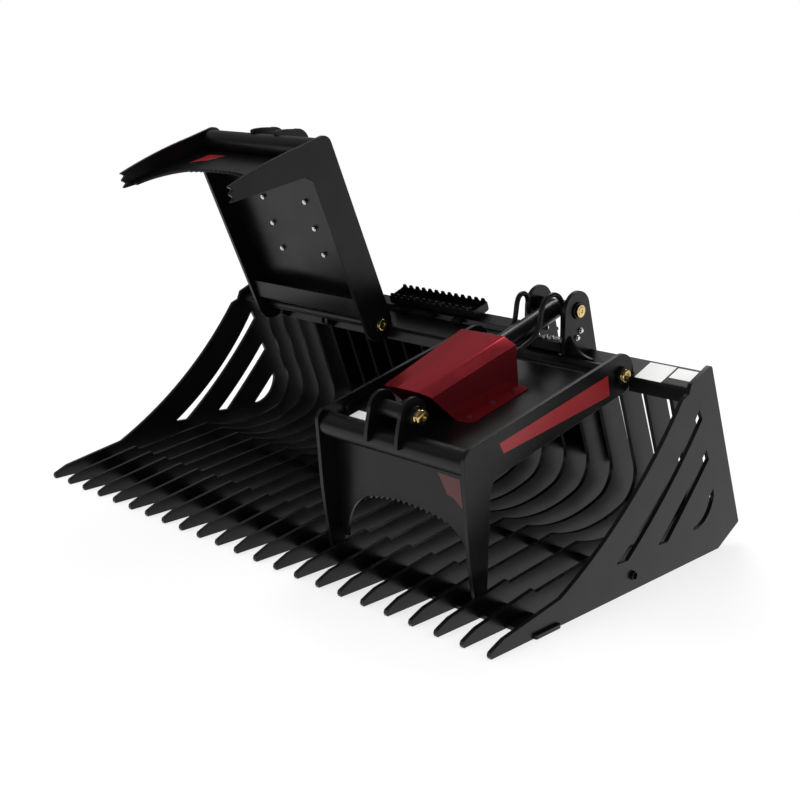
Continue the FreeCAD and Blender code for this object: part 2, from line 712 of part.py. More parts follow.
def hose_fittings(centre):
    """Stems and nuts on the valve block, and two plugs in the high X ear."""
    solids = []
    top = HINGE_Z + BLOCK_Z[1]
    for side in (-1, 1):
        x = centre + side * HOSE_X
        stem = Part.makeCylinder(FERRULE_R, HINGE_Z + STEM_TOP - top, vec(x, STEM_Y, top), vec(0, 0, 1))
        nut = hex_head(x, STEM_Y, top, STEM_NUT, STEM_NUT_H, vec(0, 0, 1))
        solids.append(stem.fuse(nut).removeSplitter())
    for x in PLUG_X:
        solids.append(hex_head(centre + x, PLUG_Y, top, PLUG_HEX, PLUG_HEX_H, vec(0, 0, 1)))
    ear = centre + EAR_PITCH / 2 + PLATE / 2
    for y, z in EAR_PLUGS:
        flange = Part.makeCylinder(PORT_R, EAR_PLUG_FLANGE, vec(ear, y, HINGE_Z + z), vec(1, 0, 0))
        plug = Part.makeCylinder(EAR_PLUG_R, EAR_PLUG_H, vec(ear, y, HINGE_Z + z), vec(1, 0, 0))
        solids.append(flange.fuse(plug).removeSplitter())
    return Part.makeCompound(solids)


def port_fittings():
    """Nut under the barrel's rear end and ferrules beside its front end, laid
    out like the barrel."""
    solids = [hex_head(0, CAP_PORT, BARREL_R + 4, PORT_NUT, PORT_NUT_H, vec(0, 0, 1))]
    for side in (-1, 1):
        start = vec(side * HOSE_X, ROD_PORT - FERRULE, HOSE_DROP)
        solids.append(Part.makeCylinder(FERRULE_R, FERRULE - PORT_R, start, vec(0, 1, 0)))
    return Part.makeCompound(solids)


def hose_route(route, side, centre, front):
    """Corner points in space: the stem's top and a lead straight up from it, the
    chosen points, and a straight lead into the ferrule's open end."""
    leads = [(0, STEM_Y, STEM_TOP), (0, STEM_Y, STEM_TOP + HOSE_LEAD)]
    points = [vec(centre + side * (HOSE_X + x), y, HINGE_Z + z) for x, y, z in leads + route]
    for y in (ROD_PORT - FERRULE - HOSE_LEAD, ROD_PORT - FERRULE):
        points.append(lay(Part.Vertex(side * HOSE_X, y, HOSE_DROP), front, centre, False).Point)
    return points


def hose(route, side, centre, front):
    """Round hose along straight runs joined by tangent arcs."""
    points = hose_route(route, side, centre, front)
    edges = []
    start = points[0]
    radii = []
    for before, corner, after in zip(points, points[1:], points[2:]):
        back = before.sub(corner)
        ahead = after.sub(corner)
        reach = 0.45 * min(back.Length, ahead.Length)
        half = back.getAngle(ahead) / 2
        back.normalize()
        ahead.normalize()
        radius = reach * math.tan(half)
        radii.append(radius)
        bisector = (back + ahead).normalize()
        middle = corner + bisector * (radius / math.sin(half) - radius)
        edges.append(Part.LineSegment(start, corner + back * reach).toShape())
        start = corner + ahead * reach
        edges.append(Part.Arc(corner + back * reach, middle, start).toShape())
    edges.append(Part.LineSegment(start, points[-1]).toShape())
    path = Part.Wire(edges)
    profile = Part.Wire([Part.makeCircle(HOSE_R, points[0], points[1] - points[0])])
    tube = path.makePipeShell([profile], True, True)
    filled = tube.Volume / (math.pi * HOSE_R ** 2 * path.Length)
    print("hose", round(path.Length), "mm long, volume over section x length", round(filled, 4),
          "radii", [round(r) for r in radii])
    return tube


def step_bolts():
    bolts = []
    for x in STEP_BOLT_X:
        shank = Part.makeCylinder(BOLT_R, STEP_T + 34, vec(x, 0, -34), vec(0, 0, 1))
        head = hex_head(x, 0, STEP_T, BOLT_HEX, BOLT_HEAD, vec(0, 0, 1))
        nut = hex_head(x, 0, -STEP_LIFT - BLOCK_FOOT, BOLT_HEX, BOLT_NUT, vec(0, 0, -1))
        bolts.append(place_on_beam(shank.fuse([head, nut]).removeSplitter(), STEP_Y, STEP_LIFT))
    return Part.makeCompound(bolts)


# Grapple, built closed round its own centre plane

def arm(s, h):
    """Arm coordinates, s forward from the hinge and h up, to (y, z)."""
    c = math.cos(ARM_TILT)
    n = math.sin(ARM_TILT)
    return (-c * s - n * h, HINGE_Z - n * s + c * h)


def rel(y, z):
    return (y, HINGE_Z + z)


def saw_line(y_from, y_to, z, count, depth):
    """Notches that leave a row of pointed teeth along Y."""
    points = []
    pitch = (y_to - y_from) / (count - 1)
    for index in range(1, count):
        y = y_from + pitch * (index - 0.5)
        wide = pitch * TOOTH_ROOM
        points += [(y - wide, z), (y - wide * 0.12, z + depth), (y + wide * 0.12, z + depth), (y + wide, z)]
    return points


def side_plate(side):
    top = arm(0, ARM_HALF)
    low = arm(0, -ARM_HALF)
    back = arm(-ARM_HALF, 0)
    toe_z = HINGE_Z - TOE_DROP
    points = [top, rel(*NOSE_TOP) + (NOSE_R,), rel(*NOSE_LOW), ("via",) + rel(*FINGER_BOW)]
    points.append((TOE_FRONT_Y, toe_z))
    points += saw_line(TOE_FRONT_Y, TOE_REAR_Y, toe_z, TOE_TEETH, TOOTH)
    points += [(TOE_REAR_Y, toe_z), ("via",) + rel(*FINGER_REAR_BOW), rel(*FINGER_ROOT),
               rel(*THROAT) + (THROAT_R,), low, ("via", back[0], back[1])]
    x_low = side * (GRAPPLE_HALF - PLATE / 2) - PLATE / 2
    solid = plate(points, x_low, PLATE)
    return solid.cut(rod_x(0, HINGE_Z, HINGE_PIN_R + RUNNING, x_low - 1, x_low + PLATE + 1))


def inner_half():
    return GRAPPLE_HALF - PLATE


def front_tube_room():
    """Cylinder just larger than the front tube, as long as the grapple is wide."""
    return rod_x(FRONT_TUBE_Y, HINGE_Z + FRONT_TUBE_Z, FRONT_TUBE_R + SIDE_GAP, -GRAPPLE_HALF, GRAPPLE_HALF)


def top_plate():
    """Flat plate with upturned side flanges between the side plates."""
    half = inner_half()
    low = arm(TOP_REAR, TOP_PLATE_H)
    high = arm(TOP_FRONT, TOP_PLATE_H)
    normal = (arm(0, 1)[0] - arm(0, 0)[0], arm(0, 1)[1] - arm(0, 0)[1])
    points = [low, high, (high[0] - normal[0] * TOP_PLATE_T, high[1] - normal[1] * TOP_PLATE_T),
              (low[0] - normal[0] * TOP_PLATE_T, low[1] - normal[1] * TOP_PLATE_T)]
    body = plate(points, -half, 2 * half)
    parts = []
    for side in (-1, 1):
        a = arm(TOP_REAR, TOP_PLATE_H - 1)
        b = arm(TOP_REAR, TOP_PLATE_H + TOP_FLANGE)
        c = arm(TOP_FLANGE_FRONT, TOP_PLATE_H + TOP_FLANGE)
        d = arm(TOP_FLANGE_FRONT, TOP_PLATE_H - 1)
        x_low = half - TOP_PLATE_T if side > 0 else -half
        parts.append(plate([a, b + (8,), c + (10,), d], x_low, TOP_PLATE_T))
    body = body.fuse(parts).removeSplitter()
    inside = []
    for edge in body.Edges:
        mid = edge.CenterOfMass
        if edge.Length > 0.7 * (TOP_FRONT - TOP_REAR) and abs(abs(mid.x) - (half - TOP_PLATE_T)) < 0.1:
            s_mid, h_mid = to_arm(mid.y, mid.z)
            if abs(h_mid - TOP_PLATE_H) < 0.5:
                inside.append(edge)
    body = body.makeFillet(5.0, inside)
    holes = [bolt_axis_cylinder(s, x, BOLT_R + HOLE_ROOM, TOP_PLATE_H - 20, TOP_PLATE_H + 10) for s in BOLT_S
             for x in BOLT_X]
    return body.cut(holes + [front_tube_room()])


def to_arm(y, z):
    c = math.cos(ARM_TILT)
    n = math.sin(ARM_TILT)
    dz = z - HINGE_Z
    return (-c * y - n * dz, -n * y + c * dz)


def arm_up():
    base = arm(0, 0)
    tip = arm(0, 1)
    return vec(0, tip[0] - base[0], tip[1] - base[1])


def bolt_axis_cylinder(s, x, radius, low, high):
    base = arm(s, low)
    return Part.makeCylinder(radius, high - low, vec(x, base[0], base[1]), arm_up())


def cross_plate():
    """Stiffener under the arm just ahead of the hinge."""
    half = inner_half()
    line = [rel(-107, -59), rel(-43, -50), rel(-36, -36)]
    points = bent_outline(line[::-1], CROSS_T, 6.0)
    return plate(points, -half, 2 * half)


def front_tube():
    half = inner_half()
    return tube_x(FRONT_TUBE_Y, HINGE_Z + FRONT_TUBE_Z, FRONT_TUBE_R, FRONT_TUBE_R - FRONT_TUBE_WALL,
                  -half, half)


def saw_arch():
    """Points of the mouth's sawn upper edge, (x, distance below the hinge)."""
    teeth = []
    count = round(2 * ARCH_SAW_HALF / SAW_PITCH)
    pitch = 2 * ARCH_SAW_HALF / count
    for index in range(count):
        x = -ARCH_SAW_HALF + pitch * index
        middle = x + pitch / 2
        root = ARCH_CROWN + ARCH_SAG * (x / ARCH_SAW_HALF) ** 2 - SAW_DEPTH * 0.3
        tip = ARCH_CROWN + ARCH_SAG * (middle / ARCH_SAW_HALF) ** 2 + SAW_DEPTH * 0.7
        teeth += [(x, root), (x + pitch * 0.3, root), (middle, tip), (x + pitch * 0.7, root)]
    teeth.append((ARCH_SAW_HALF, ARCH_CROWN + ARCH_SAG - SAW_DEPTH * 0.3))
    return teeth


def arch_plate():
    """Front plate between the side plates with an arched, sawn mouth."""
    half = inner_half()
    foot, bow, shoulder = ARCH_SIDE

    def spot(x, drop):
        return vec(x, 0, HINGE_Z - drop)

    def lines(path):
        return [Part.LineSegment(spot(*a), spot(*b)).toShape() for a, b in zip(path, path[1:])]

    cut_x = half - ARCH_CORNER[0]
    cut_z = ARCH_FOOT - ARCH_CORNER[1]
    left = [(-x, drop) for x, drop in ARCH_SIDE]
    edges = lines([(-half, ARCH_TOP), (-half, cut_z), (-cut_x, ARCH_FOOT), left[0]])
    edges.append(Part.Arc(*[spot(*corner) for corner in left]).toShape())
    edges += lines([left[2]] + saw_arch() + [shoulder])
    edges.append(Part.Arc(spot(*shoulder), spot(*bow), spot(*foot)).toShape())
    edges += lines([foot, (cut_x, ARCH_FOOT), (half, cut_z), (half, ARCH_TOP), (-half, ARCH_TOP)])
    solid = Part.Face(Part.Wire(edges)).extrude(vec(0, ARCH_T, 0))
    solid.rotate(vec(0, 0, HINGE_Z - ARCH_PIVOT), vec(1, 0, 0), ARCH_LEAN)
    solid.translate(vec(0, ARCH_Y, 0))
    under = TOP_PLATE_H - TOP_PLATE_T
    above = [arm(TOP_FRONT - 60, under), arm(TOP_FRONT - 60, 60), arm(TOP_FRONT + 60, 60), arm(TOP_FRONT + 60, under)]
    return solid.cut([front_tube_room(), plate(above, -half - 1, 2 * half + 2)])


def front_ears():
    """Hook shaped plates over the front tube that hold the rod's pin."""
    ears = []
    py = FRONT_PIN_Y
    pz = HINGE_Z + FRONT_PIN_Z
    r = FRONT_EAR_R
    d = r * math.sqrt(0.5)
    plate_end = arm(TOP_FRONT + 3, TOP_PLATE_H)
    foot_rear = arm(TOP_FRONT - 42, TOP_PLATE_H)
    hook_y = FRONT_TUBE_Y - FRONT_TUBE_R - EAR_HOOK
    hook_z = HINGE_Z + FRONT_TUBE_Z - EAR_HOOK_DROP
    points = [(py + r, pz), ("via", py + d, pz + d), (py, pz + r), ("via", py - d, pz + d), (py - r, pz)]
    points += [("via", hook_y + 4, pz - 40), (hook_y, hook_z + 18), (hook_y, hook_z, 5)]
    points += [(hook_y + 15, hook_z, 4), (hook_y + 21, hook_z + 22), plate_end, foot_rear]
    for side in (-1, 1):
        x_low = FRONT_EAR_SHIFT + side * FRONT_EAR_PITCH / 2 - PLATE / 2
        pin_hole = rod_x(py, pz, PIN_R + RUNNING, x_low - 1, x_low + PLATE + 1)
        ears.append(plate(points, x_low, PLATE).cut([front_tube_room(), pin_hole]))
    return Part.makeCompound(ears)


def front_pin():
    """Pin through both front ears, with a long head outside and a ring inside."""
    low = FRONT_EAR_SHIFT - FRONT_EAR_PITCH / 2 - PLATE / 2
    high = FRONT_EAR_SHIFT + FRONT_EAR_PITCH / 2 + PLATE / 2
    z = HINGE_Z + FRONT_PIN_Z
    pin = headed_pin(FRONT_PIN_Y, z, PIN_R, FRONT_HEAD_R, FRONT_HEAD, low - 12, high, 1)
    ring = tube_x(FRONT_PIN_Y, z, PIN_HEAD_R, PIN_R - 0.5, low - 8, low)
    return pin.fuse(ring).removeSplitter()


def hinge_pins():
    """Two stub pins, pushed in from outside through each side plate."""
    pins = []
    for side in (-1, 1):
        outer = side * GRAPPLE_HALF
        inner = side * (GRAPPLE_HALF - PLATE - 70)
        low, high = min(inner, outer), max(inner, outer)
        pins.append(headed_pin(0, HINGE_Z, HINGE_PIN_R, HEAD_R, HEAD_PROUD, low, high, side))
    return Part.makeCompound(pins)


def guard_section(section, s, slant, thickness):
    """Closed section of the guard's hood at one end, thickness in from its
    outside; slant is how far its plane leans forward for each unit of height."""
    corners = []
    for (x, h), (in_x, in_h) in zip(section, GUARD_INSET):
        height = h + in_h * thickness
        y, z = arm(s + slant * (height - TOP_PLATE_H), height)
        corners.append(vec(x + in_x * thickness, y, z))
    return Part.makePolygon(corners + corners[:1])


def guard():
    """Bent hood over the cylinder: flanges, walls, a flat top with one broad
    chamfer along its outer side."""
    shells = []
    for thickness in (0, GUARD_T):
        rear = guard_section(GUARD_REAR_SECTION, GUARD_REAR, GUARD_REAR_LEAN, thickness)
        front = guard_section(GUARD_FRONT_SECTION, GUARD_FRONT, GUARD_FRONT_LEAN, thickness)
        shells.append(Part.makeLoft([rear, front], True))
    flanges = []
    front_end = GUARD_FRONT + 3
    for side, index in ((-1, 0), (1, -1)):
        rear_wall = abs(GUARD_REAR_SECTION[index][0] - GUARD_SHIFT) - GUARD_T
        front_wall = abs(GUARD_FRONT_SECTION[index][0] - GUARD_SHIFT) - GUARD_T
        outline = [(rear_wall, GUARD_REAR), (GUARD_EDGE - 10, GUARD_REAR), (GUARD_EDGE, GUARD_REAR + 8)]
        outline += [(GUARD_EDGE, GUARD_FRONT - 14), (GUARD_EDGE - 16, front_end), (front_wall, front_end)]
        corners = [vec(GUARD_SHIFT + side * x, *arm(s, TOP_PLATE_H)) for x, s in outline]
        face = Part.Face(Part.makePolygon(corners + corners[:1]))
        flanges.append(face.extrude(arm_up() * GUARD_T))
    hood = shells[0].fuse(flanges).cut(shells[1]).removeSplitter()
    holes = [bolt_axis_cylinder(s, x, BOLT_R + HOLE_ROOM, TOP_PLATE_H - 20, TOP_PLATE_H + 30) for s in BOLT_S
             for x in BOLT_X]
    return hood.cut(holes)


def guard_bolts():
    bolts = []
    up = arm_up()
    for s in BOLT_S:
        for x in BOLT_X:
            top = TOP_PLATE_H + GUARD_T
            shank = bolt_axis_cylinder(s, x, BOLT_R, TOP_PLATE_H - TOP_PLATE_T - BOLT_NUT - 2, top)
            head_base = arm(s, top)
            head = hex_head(x, head_base[0], head_base[1], BOLT_HEX, BOLT_HEAD, up)
            nut_base = arm(s, TOP_PLATE_H - TOP_PLATE_T)
            nut = hex_head(x, nut_base[0], nut_base[1], BOLT_HEX, BOLT_NUT, up * -1)
            bolts.append(shank.fuse([head, nut]).removeSplitter())
    return Part.makeCompound(bolts)


# Cylinder, built along +X from its rear pin and then laid into place

def open_point(y, z):
    """Where a point of the closed grapple goes when it is fully open."""
    a = math.radians(OPENING)
    return (y * math.cos(a) + z * math.sin(a), -y * math.sin(a) + z * math.cos(a))


def pin_distance(front):
    return math.hypot(front[0] - REAR_PIN_Y, front[1] - REAR_PIN_Z)


def lay(shape, front, centre, from_front):
    """Turn a part built along +Y so that it runs between the two pins."""
    dy = front[0] - REAR_PIN_Y
    dz = front[1] - REAR_PIN_Z
    angle = math.degrees(math.atan2(dz, dy))
    shape = shape.copy()
    if from_front:
        shape.rotate(vec(0, 0, 0), vec(1, 0, 0), angle + 180)
        shape.translate(vec(centre, front[0], HINGE_Z + front[1]))
    else:
        shape.rotate(vec(0, 0, 0), vec(1, 0, 0), angle)
        shape.translate(vec(centre, REAR_PIN_Y, HINGE_Z + REAR_PIN_Z))
    return shape


def cyl_y(radius, y_low, y_high):
    return Part.makeCylinder(radius, y_high - y_low, vec(0, y_low, 0), vec(0, 1, 0))


def eye_half():
    return EAR_PITCH / 2 - PLATE / 2 - SIDE_GAP


def retracted():
    """Distance between the cylinder's pins with the grapple open."""
    return pin_distance(open_point(FRONT_PIN_Y, FRONT_PIN_Z))


def barrel_length():
    """Rear pin to the barrel's front end: the closed cylinder less the parts
    ahead of the barrel."""
    return retracted() - ROD_EYE_R - ROD_COLLAR - GLAND_LENGTH - CLOSED_GAP


def rod_length():
    """Front pin to the piston's rear face, short of the bore's closed end."""
    return retracted() - BORE_START - BORE_RESERVE


def barrel():
    """Tube with its cross eye, the port under its rear end and the two port
    arms beside its front end."""
    half = eye_half()
    length = barrel_length()
    eye = rod_x(0, 0, BARREL_EYE_R, -half, half)
    shell = cyl_y(BARREL_R, 20, length)
    body = shell.fuse([eye, cyl_y(BARREL_R - 3, 0, 30)])
    body = body.fuse(Part.makeCylinder(PORT_R, BARREL_R + 4, vec(0, CAP_PORT, 0), vec(0, 0, 1)))
    for side in (-1, 1):
        out = vec(side * HOSE_X, 0, HOSE_DROP)
        knuckle = vec(side * HOSE_X, ROD_PORT - PORT_R, HOSE_DROP)
        body = body.fuse(Part.makeCylinder(PORT_ARM_R, out.Length, vec(0, ROD_PORT, 0), out))
        body = body.fuse(Part.makeCylinder(PORT_R, 2 * PORT_R, knuckle, vec(0, 1, 0)))
    cavity = cyl_y(BORE_R, BORE_START, length + 1)
    bore = rod_x(0, 0, PIN_R + RUNNING, -half - 1, half + 1)
    return body.cut([cavity, bore]).removeSplitter()


def gland():
    """Cylinder head: a ring screwed into the barrel with a collar outside."""
    length = barrel_length()
    collar = cyl_y(BARREL_R, length, length + GLAND_LENGTH)
    outer = max(collar.Edges, key=lambda e: e.CenterOfMass.y)
    collar = collar.makeChamfer(2.5, [outer])
    spigot = cyl_y(BORE_R - SEAT, length - GLAND_SPIGOT, length)
    return collar.fuse(spigot).cut(cyl_y(ROD_R + RUNNING, 0, 2 * length)).removeSplitter()


def cylinder_rod():
    """Rod with its cross tube at the front and the piston inside the barrel,
    built from the front pin towards the rear."""
    half = FRONT_EAR_PITCH / 2 - PLATE / 2 - SIDE_GAP
    low, high = FRONT_EAR_SHIFT - half, FRONT_EAR_SHIFT + half
    length = rod_length()
    eye = rod_x(0, 0, ROD_EYE_R, low, high)
    shaft = cyl_y(ROD_R, 10, length - PISTON_LENGTH + 1)
    piston = cyl_y(BORE_R - RUNNING, length - PISTON_LENGTH, length)
    collar = cyl_y(ROD_R + 6, 10, ROD_EYE_R + ROD_COLLAR)
    bore = rod_x(0, 0, PIN_R + RUNNING, low - 1, high + 1)
    return eye.fuse([shaft, piston, collar]).cut(bore).removeSplitter()


def turn_open(shape):
    shape = shape.copy()
    shape.rotate(vec(0, 0, HINGE_Z), vec(1, 0, 0), -OPENING)
    return shape


def grapple(name, centre, is_open):
    parts = {
        "side_plate_low_x": side_plate(-1),
        "side_plate_high_x": side_plate(1),
        "top_plate": top_plate(),
        "cross_plate": cross_plate(),
        "front_tube": front_tube(),
        "arch_plate": arch_plate(),
        "front_ears": front_ears(),
        "front_pin": front_pin(),
        "hinge_pins": hinge_pins(),
        "guard": guard(),
        "guard_bolts": guard_bolts(),
    }
    handed = ("top_plate", "front_ears", "front_pin", "guard", "guard_bolts")
    result = {}
    for key, shape in parts.items():
        if key in handed and centre < 0:
            shape = shape.mirror(vec(0, 0, 0), vec(1, 0, 0))
        shape = turn_open(shape) if is_open else shape.copy()
        shape.translate(vec(centre, 0, 0))
        result[name + "_" + key] = shape
    front = open_point(FRONT_PIN_Y, FRONT_PIN_Z) if is_open else (FRONT_PIN_Y, FRONT_PIN_Z)
    result[name + "_cylinder_barrel"] = lay(barrel(), front, centre, False)
    result[name + "_cylinder_gland"] = lay(gland(), front, centre, False)
    rod = cylinder_rod() if centre > 0 else cylinder_rod().mirror(vec(0, 0, 0), vec(1, 0, 0))
    result[name + "_cylinder_rod"] = lay(rod, front, centre, True)
    if not is_open:
        result[name + "_port_fittings"] = lay(port_fittings(), front, centre, False)
        result[name + "_hose_fittings"] = hose_fittings(centre)
        result[name + "_hose_near"] = hose(NEAR_ROUTE, 1, centre, front)
        result[name + "_hose_far"] = hose(FAR_ROUTE, -1, centre, front)
    return result


def all_parts():
    parts = {"end_plate_left": end_plate(-1), "end_plate_right": end_plate(1)}
    for group in range(7):
        members = [tine(1 + group * 3 + step) for step in range(3)]
        parts["tines_" + str(group + 1)] = Part.makeCompound(members)
    parts["front_bar"] = front_bar()
    parts["cross_pipe"] = cross_pipe()
    parts["top_beam"] = top_beam()
    parts["attach_plate"] = attach_plate()
    parts["attach_gussets"] = attach_gussets()
    parts["step_tread"] = step_tread()
    parts["step_ends"] = step_ends()
    parts["step_brackets"] = step_brackets()
    parts["step_bolts"] = step_bolts()
    for name, centre, is_open in (("left", -GRAPPLE_X, True), ("right", GRAPPLE_X, False)):
        parts[name + "_hinge_tube"] = hinge_tube(centre)
        parts[name + "_hinge_saddles"] = hinge_saddles(centre)
        parts[name + "_rear_ears"] = rear_ears(centre)
        parts[name + "_rear_pins"] = rear_pins(centre)
        parts[name + "_valve_block"] = valve_block(centre)
        parts.update(grapple(name, centre, is_open))
    return parts


def report(parts):
    for name, shape in parts.items():
        bb = shape.BoundBox
        bad = [i for i, s in enumerate(shape.Solids) if not s.isValid()]
        print(name, len(shape.Solids), "solids", "bad" if bad else "ok",
              [round(v) for v in (bb.XMin, bb.XMax, bb.YMin, bb.YMax, bb.ZMin, bb.ZMax)])


built = all_parts()
report(built)
for name, shape in built.items():
    shape.exportStep("parts/" + name + ".step")
print(len(built), "nodes; pins apart", round(pin_distance((FRONT_PIN_Y, FRONT_PIN_Z)), 1), "closed",
      round(pin_distance(open_point(FRONT_PIN_Y, FRONT_PIN_Z)), 1), "open")
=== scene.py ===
import json
import math

import bmesh
import bpy
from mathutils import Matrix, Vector

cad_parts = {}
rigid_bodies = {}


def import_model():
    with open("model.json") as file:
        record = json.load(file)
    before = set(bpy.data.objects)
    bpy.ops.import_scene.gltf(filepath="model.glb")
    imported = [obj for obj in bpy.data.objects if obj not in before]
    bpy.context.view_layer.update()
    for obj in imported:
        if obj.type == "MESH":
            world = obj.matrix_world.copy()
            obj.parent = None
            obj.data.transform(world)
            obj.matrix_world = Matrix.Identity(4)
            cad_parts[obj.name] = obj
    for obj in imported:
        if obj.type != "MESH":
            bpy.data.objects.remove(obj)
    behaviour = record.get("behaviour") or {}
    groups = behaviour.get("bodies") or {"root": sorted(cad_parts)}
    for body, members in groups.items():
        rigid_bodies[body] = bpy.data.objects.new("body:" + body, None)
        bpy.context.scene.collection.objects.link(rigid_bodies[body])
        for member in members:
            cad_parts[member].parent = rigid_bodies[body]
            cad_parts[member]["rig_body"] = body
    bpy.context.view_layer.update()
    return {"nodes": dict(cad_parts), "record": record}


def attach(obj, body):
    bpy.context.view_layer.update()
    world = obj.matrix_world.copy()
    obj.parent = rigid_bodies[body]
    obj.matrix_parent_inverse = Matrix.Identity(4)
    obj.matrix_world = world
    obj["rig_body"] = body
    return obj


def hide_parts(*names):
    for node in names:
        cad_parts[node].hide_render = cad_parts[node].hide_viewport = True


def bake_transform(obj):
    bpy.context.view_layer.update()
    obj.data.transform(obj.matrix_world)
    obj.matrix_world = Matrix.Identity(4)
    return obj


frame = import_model()

# Places on the grapple, in metres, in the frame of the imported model
HINGE_Z = 0.535
GRAPPLE_X = 0.4925
ARM_TILT = math.radians(12.4)
OPENING = math.radians(78.5)
SIDE_FACE = 0.2825

# Camera, worked out from the perspective of the tines
LENS = 60.285
SENSOR = 36.0
CAMERA_PLACE = (2.92642, -3.08914, 1.47736)
CAMERA_ROUND = math.radians(44.52045)
CAMERA_UP = math.radians(15.33385)

# Edge roundings of cut plate, pins, pin heads, guard sheet, front tube and bolts, and the guard's long folds
PLATE_EDGE = 0.0015
PIN_EDGE = 0.0006
HEAD_EDGE = 0.0022
SHEET_EDGE = 0.0006
TUBE_EDGE = 0.0008
BOLT_EDGE = 0.0024
FOLD = 0.0045

# Pin heads: length of each, where it starts from the grapple's middle, and how much fuller it gets
HINGE_HEAD = 0.022
REAR_HEAD = 0.014
FRONT_HEAD = 0.038
EAR_HALF = 0.0776
FRONT_EAR_OUT = 0.0506
COLLAR_SHARE = 0.46
FRONT_PIN = (-0.613, 0.492)
REAR_PIN = (0.059, 0.683)
COLLAR_GROWTH = {"hinge_pins": 1.18, "rear_pins": 1.55, "front_pin": 1.36}
CAP_GROWTH = {"hinge_pins": 1.1, "rear_pins": 1.36, "front_pin": 1.18}
HEAD_SLACK = 0.0005
SHAFT_REACH = 0.0136
FRONT_PIN_REACH = 0.039


# Shader groups shared by several finishes

def new_group(name, inputs, outputs):
    group = bpy.data.node_groups.new(name, "ShaderNodeTree")
    for label, kind, value in inputs:
        socket = group.interface.new_socket(name=label, in_out="INPUT", socket_type=kind)
        socket.default_value = value
    for label, kind in outputs:
        group.interface.new_socket(name=label, in_out="OUTPUT", socket_type=kind)
    enter = group.nodes.new("NodeGroupInput")
    leave = group.nodes.new("NodeGroupOutput")
    return group, enter, leave


def noise(tree, place, scale, detail=3.0, rough=0.5):
    node = tree.nodes.new("ShaderNodeTexNoise")
    node.inputs["Scale"].default_value = scale
    node.inputs["Detail"].default_value = detail
    node.inputs["Roughness"].default_value = rough
    tree.links.new(place, node.inputs["Vector"])
    return node.outputs["Fac"]


def remap(tree, value, low, high, to_low, to_high):
    node = tree.nodes.new("ShaderNodeMapRange")
    node.clamp = True
    for label, number in (("From Min", low), ("From Max", high), ("To Min", to_low), ("To Max", to_high)):
        if isinstance(number, (int, float)):
            node.inputs[label].default_value = number
        else:
            tree.links.new(number, node.inputs[label])
    tree.links.new(value, node.inputs["Value"])
    return node.outputs["Result"]


def times(tree, a, b, operation="MULTIPLY"):
    node = tree.nodes.new("ShaderNodeMath")
    node.operation = operation
    node.use_clamp = operation == "ADD"
    for index, value in enumerate((a, b)):
        if isinstance(value, (int, float)):
            node.inputs[index].default_value = value
        else:
            tree.links.new(value, node.inputs[index])
    return node.outputs[0]


def make_orange_peel():
    """Fine waviness of a baked coat: a height for bump and a roughness change."""
    group, enter, leave = new_group(
        "orange_peel",
        [("Grain", "NodeSocketFloat", 420.0), ("Rough", "NodeSocketFloat", 0.4),
         ("Spread", "NodeSocketFloat", 0.05)],
        [("Height", "NodeSocketFloat"), ("Roughness", "NodeSocketFloat")])
    place = group.nodes.new("ShaderNodeTexCoord").outputs["Object"]
    peel = group.nodes.new("ShaderNodeTexNoise")
    peel.inputs["Detail"].default_value = 2.0
    group.links.new(place, peel.inputs["Vector"])
    group.links.new(enter.outputs["Grain"], peel.inputs["Scale"])
    patches = noise(group, place, 9.0, 4.0, 0.6)
    low = times(group, enter.outputs["Rough"], enter.outputs["Spread"], "SUBTRACT")
    high = times(group, enter.outputs["Rough"], enter.outputs["Spread"], "ADD")
    rough = remap(group, patches, 0.35, 0.65, low, high)
    group.links.new(peel.outputs["Fac"], leave.inputs["Height"])
    group.links.new(rough, leave.inputs["Roughness"])
    return group


def make_edge_rub_and_highlight():
    """Mask of outside edges, broken up by noise: rubbed wear and painted edge highlight."""
    group, enter, leave = new_group(
        "edge_rub_and_highlight", [("Width", "NodeSocketFloat", 0.004), ("Amount", "NodeSocketFloat", 0.5)],
        [("Mask", "NodeSocketFloat")])
    bevel = group.nodes.new("ShaderNodeBevel")
    bevel.samples = 4
    group.links.new(enter.outputs["Width"], bevel.inputs["Radius"])
    flat = group.nodes.new("ShaderNodeNewGeometry")
    dot = group.nodes.new("ShaderNodeVectorMath")
    dot.operation = "DOT_PRODUCT"
    group.links.new(bevel.outputs["Normal"], dot.inputs[0])
    group.links.new(flat.outputs["Normal"], dot.inputs[1])
    edge = remap(group, dot.outputs["Value"], 0.7, 0.99, 1.0, 0.0)
    place = group.nodes.new("ShaderNodeTexCoord").outputs["Object"]
    broken = remap(group, noise(group, place, 60.0, 5.0, 0.65), 0.45, 0.7, 0.0, 1.0)
    mask = times(group, times(group, edge, broken), enter.outputs["Amount"])
    group.links.new(mask, leave.inputs["Mask"])
    return group


def make_dust():
    """Mask of thin dust in patches, heavier on faces that look up."""
    group, enter, leave = new_group(
        "dust_film", [("Amount", "NodeSocketFloat", 0.1)], [("Mask", "NodeSocketFloat")])
    flat = group.nodes.new("ShaderNodeNewGeometry")
    split = group.nodes.new("ShaderNodeSeparateXYZ")
    group.links.new(flat.outputs["Normal"], split.inputs["Vector"])
    up = remap(group, split.outputs["Z"], 0.0, 1.0, 0.25, 1.0)
    place = group.nodes.new("ShaderNodeTexCoord").outputs["Object"]
    patches = remap(group, noise(group, place, 5.0, 8.0, 0.62), 0.35, 0.75, 0.0, 1.0)
    mask = times(group, times(group, up, patches), enter.outputs["Amount"])
    group.links.new(mask, leave.inputs["Mask"])
    return group


ORANGE_PEEL = make_orange_peel()
EDGE_RUB_AND_HIGHLIGHT = make_edge_rub_and_highlight()
DUST = make_dust()


def use_group(tree, group, **values):
    node = tree.nodes.new("ShaderNodeGroup")
    node.node_tree = group
    for label, value in values.items():
        node.inputs[label].default_value = value
    return node


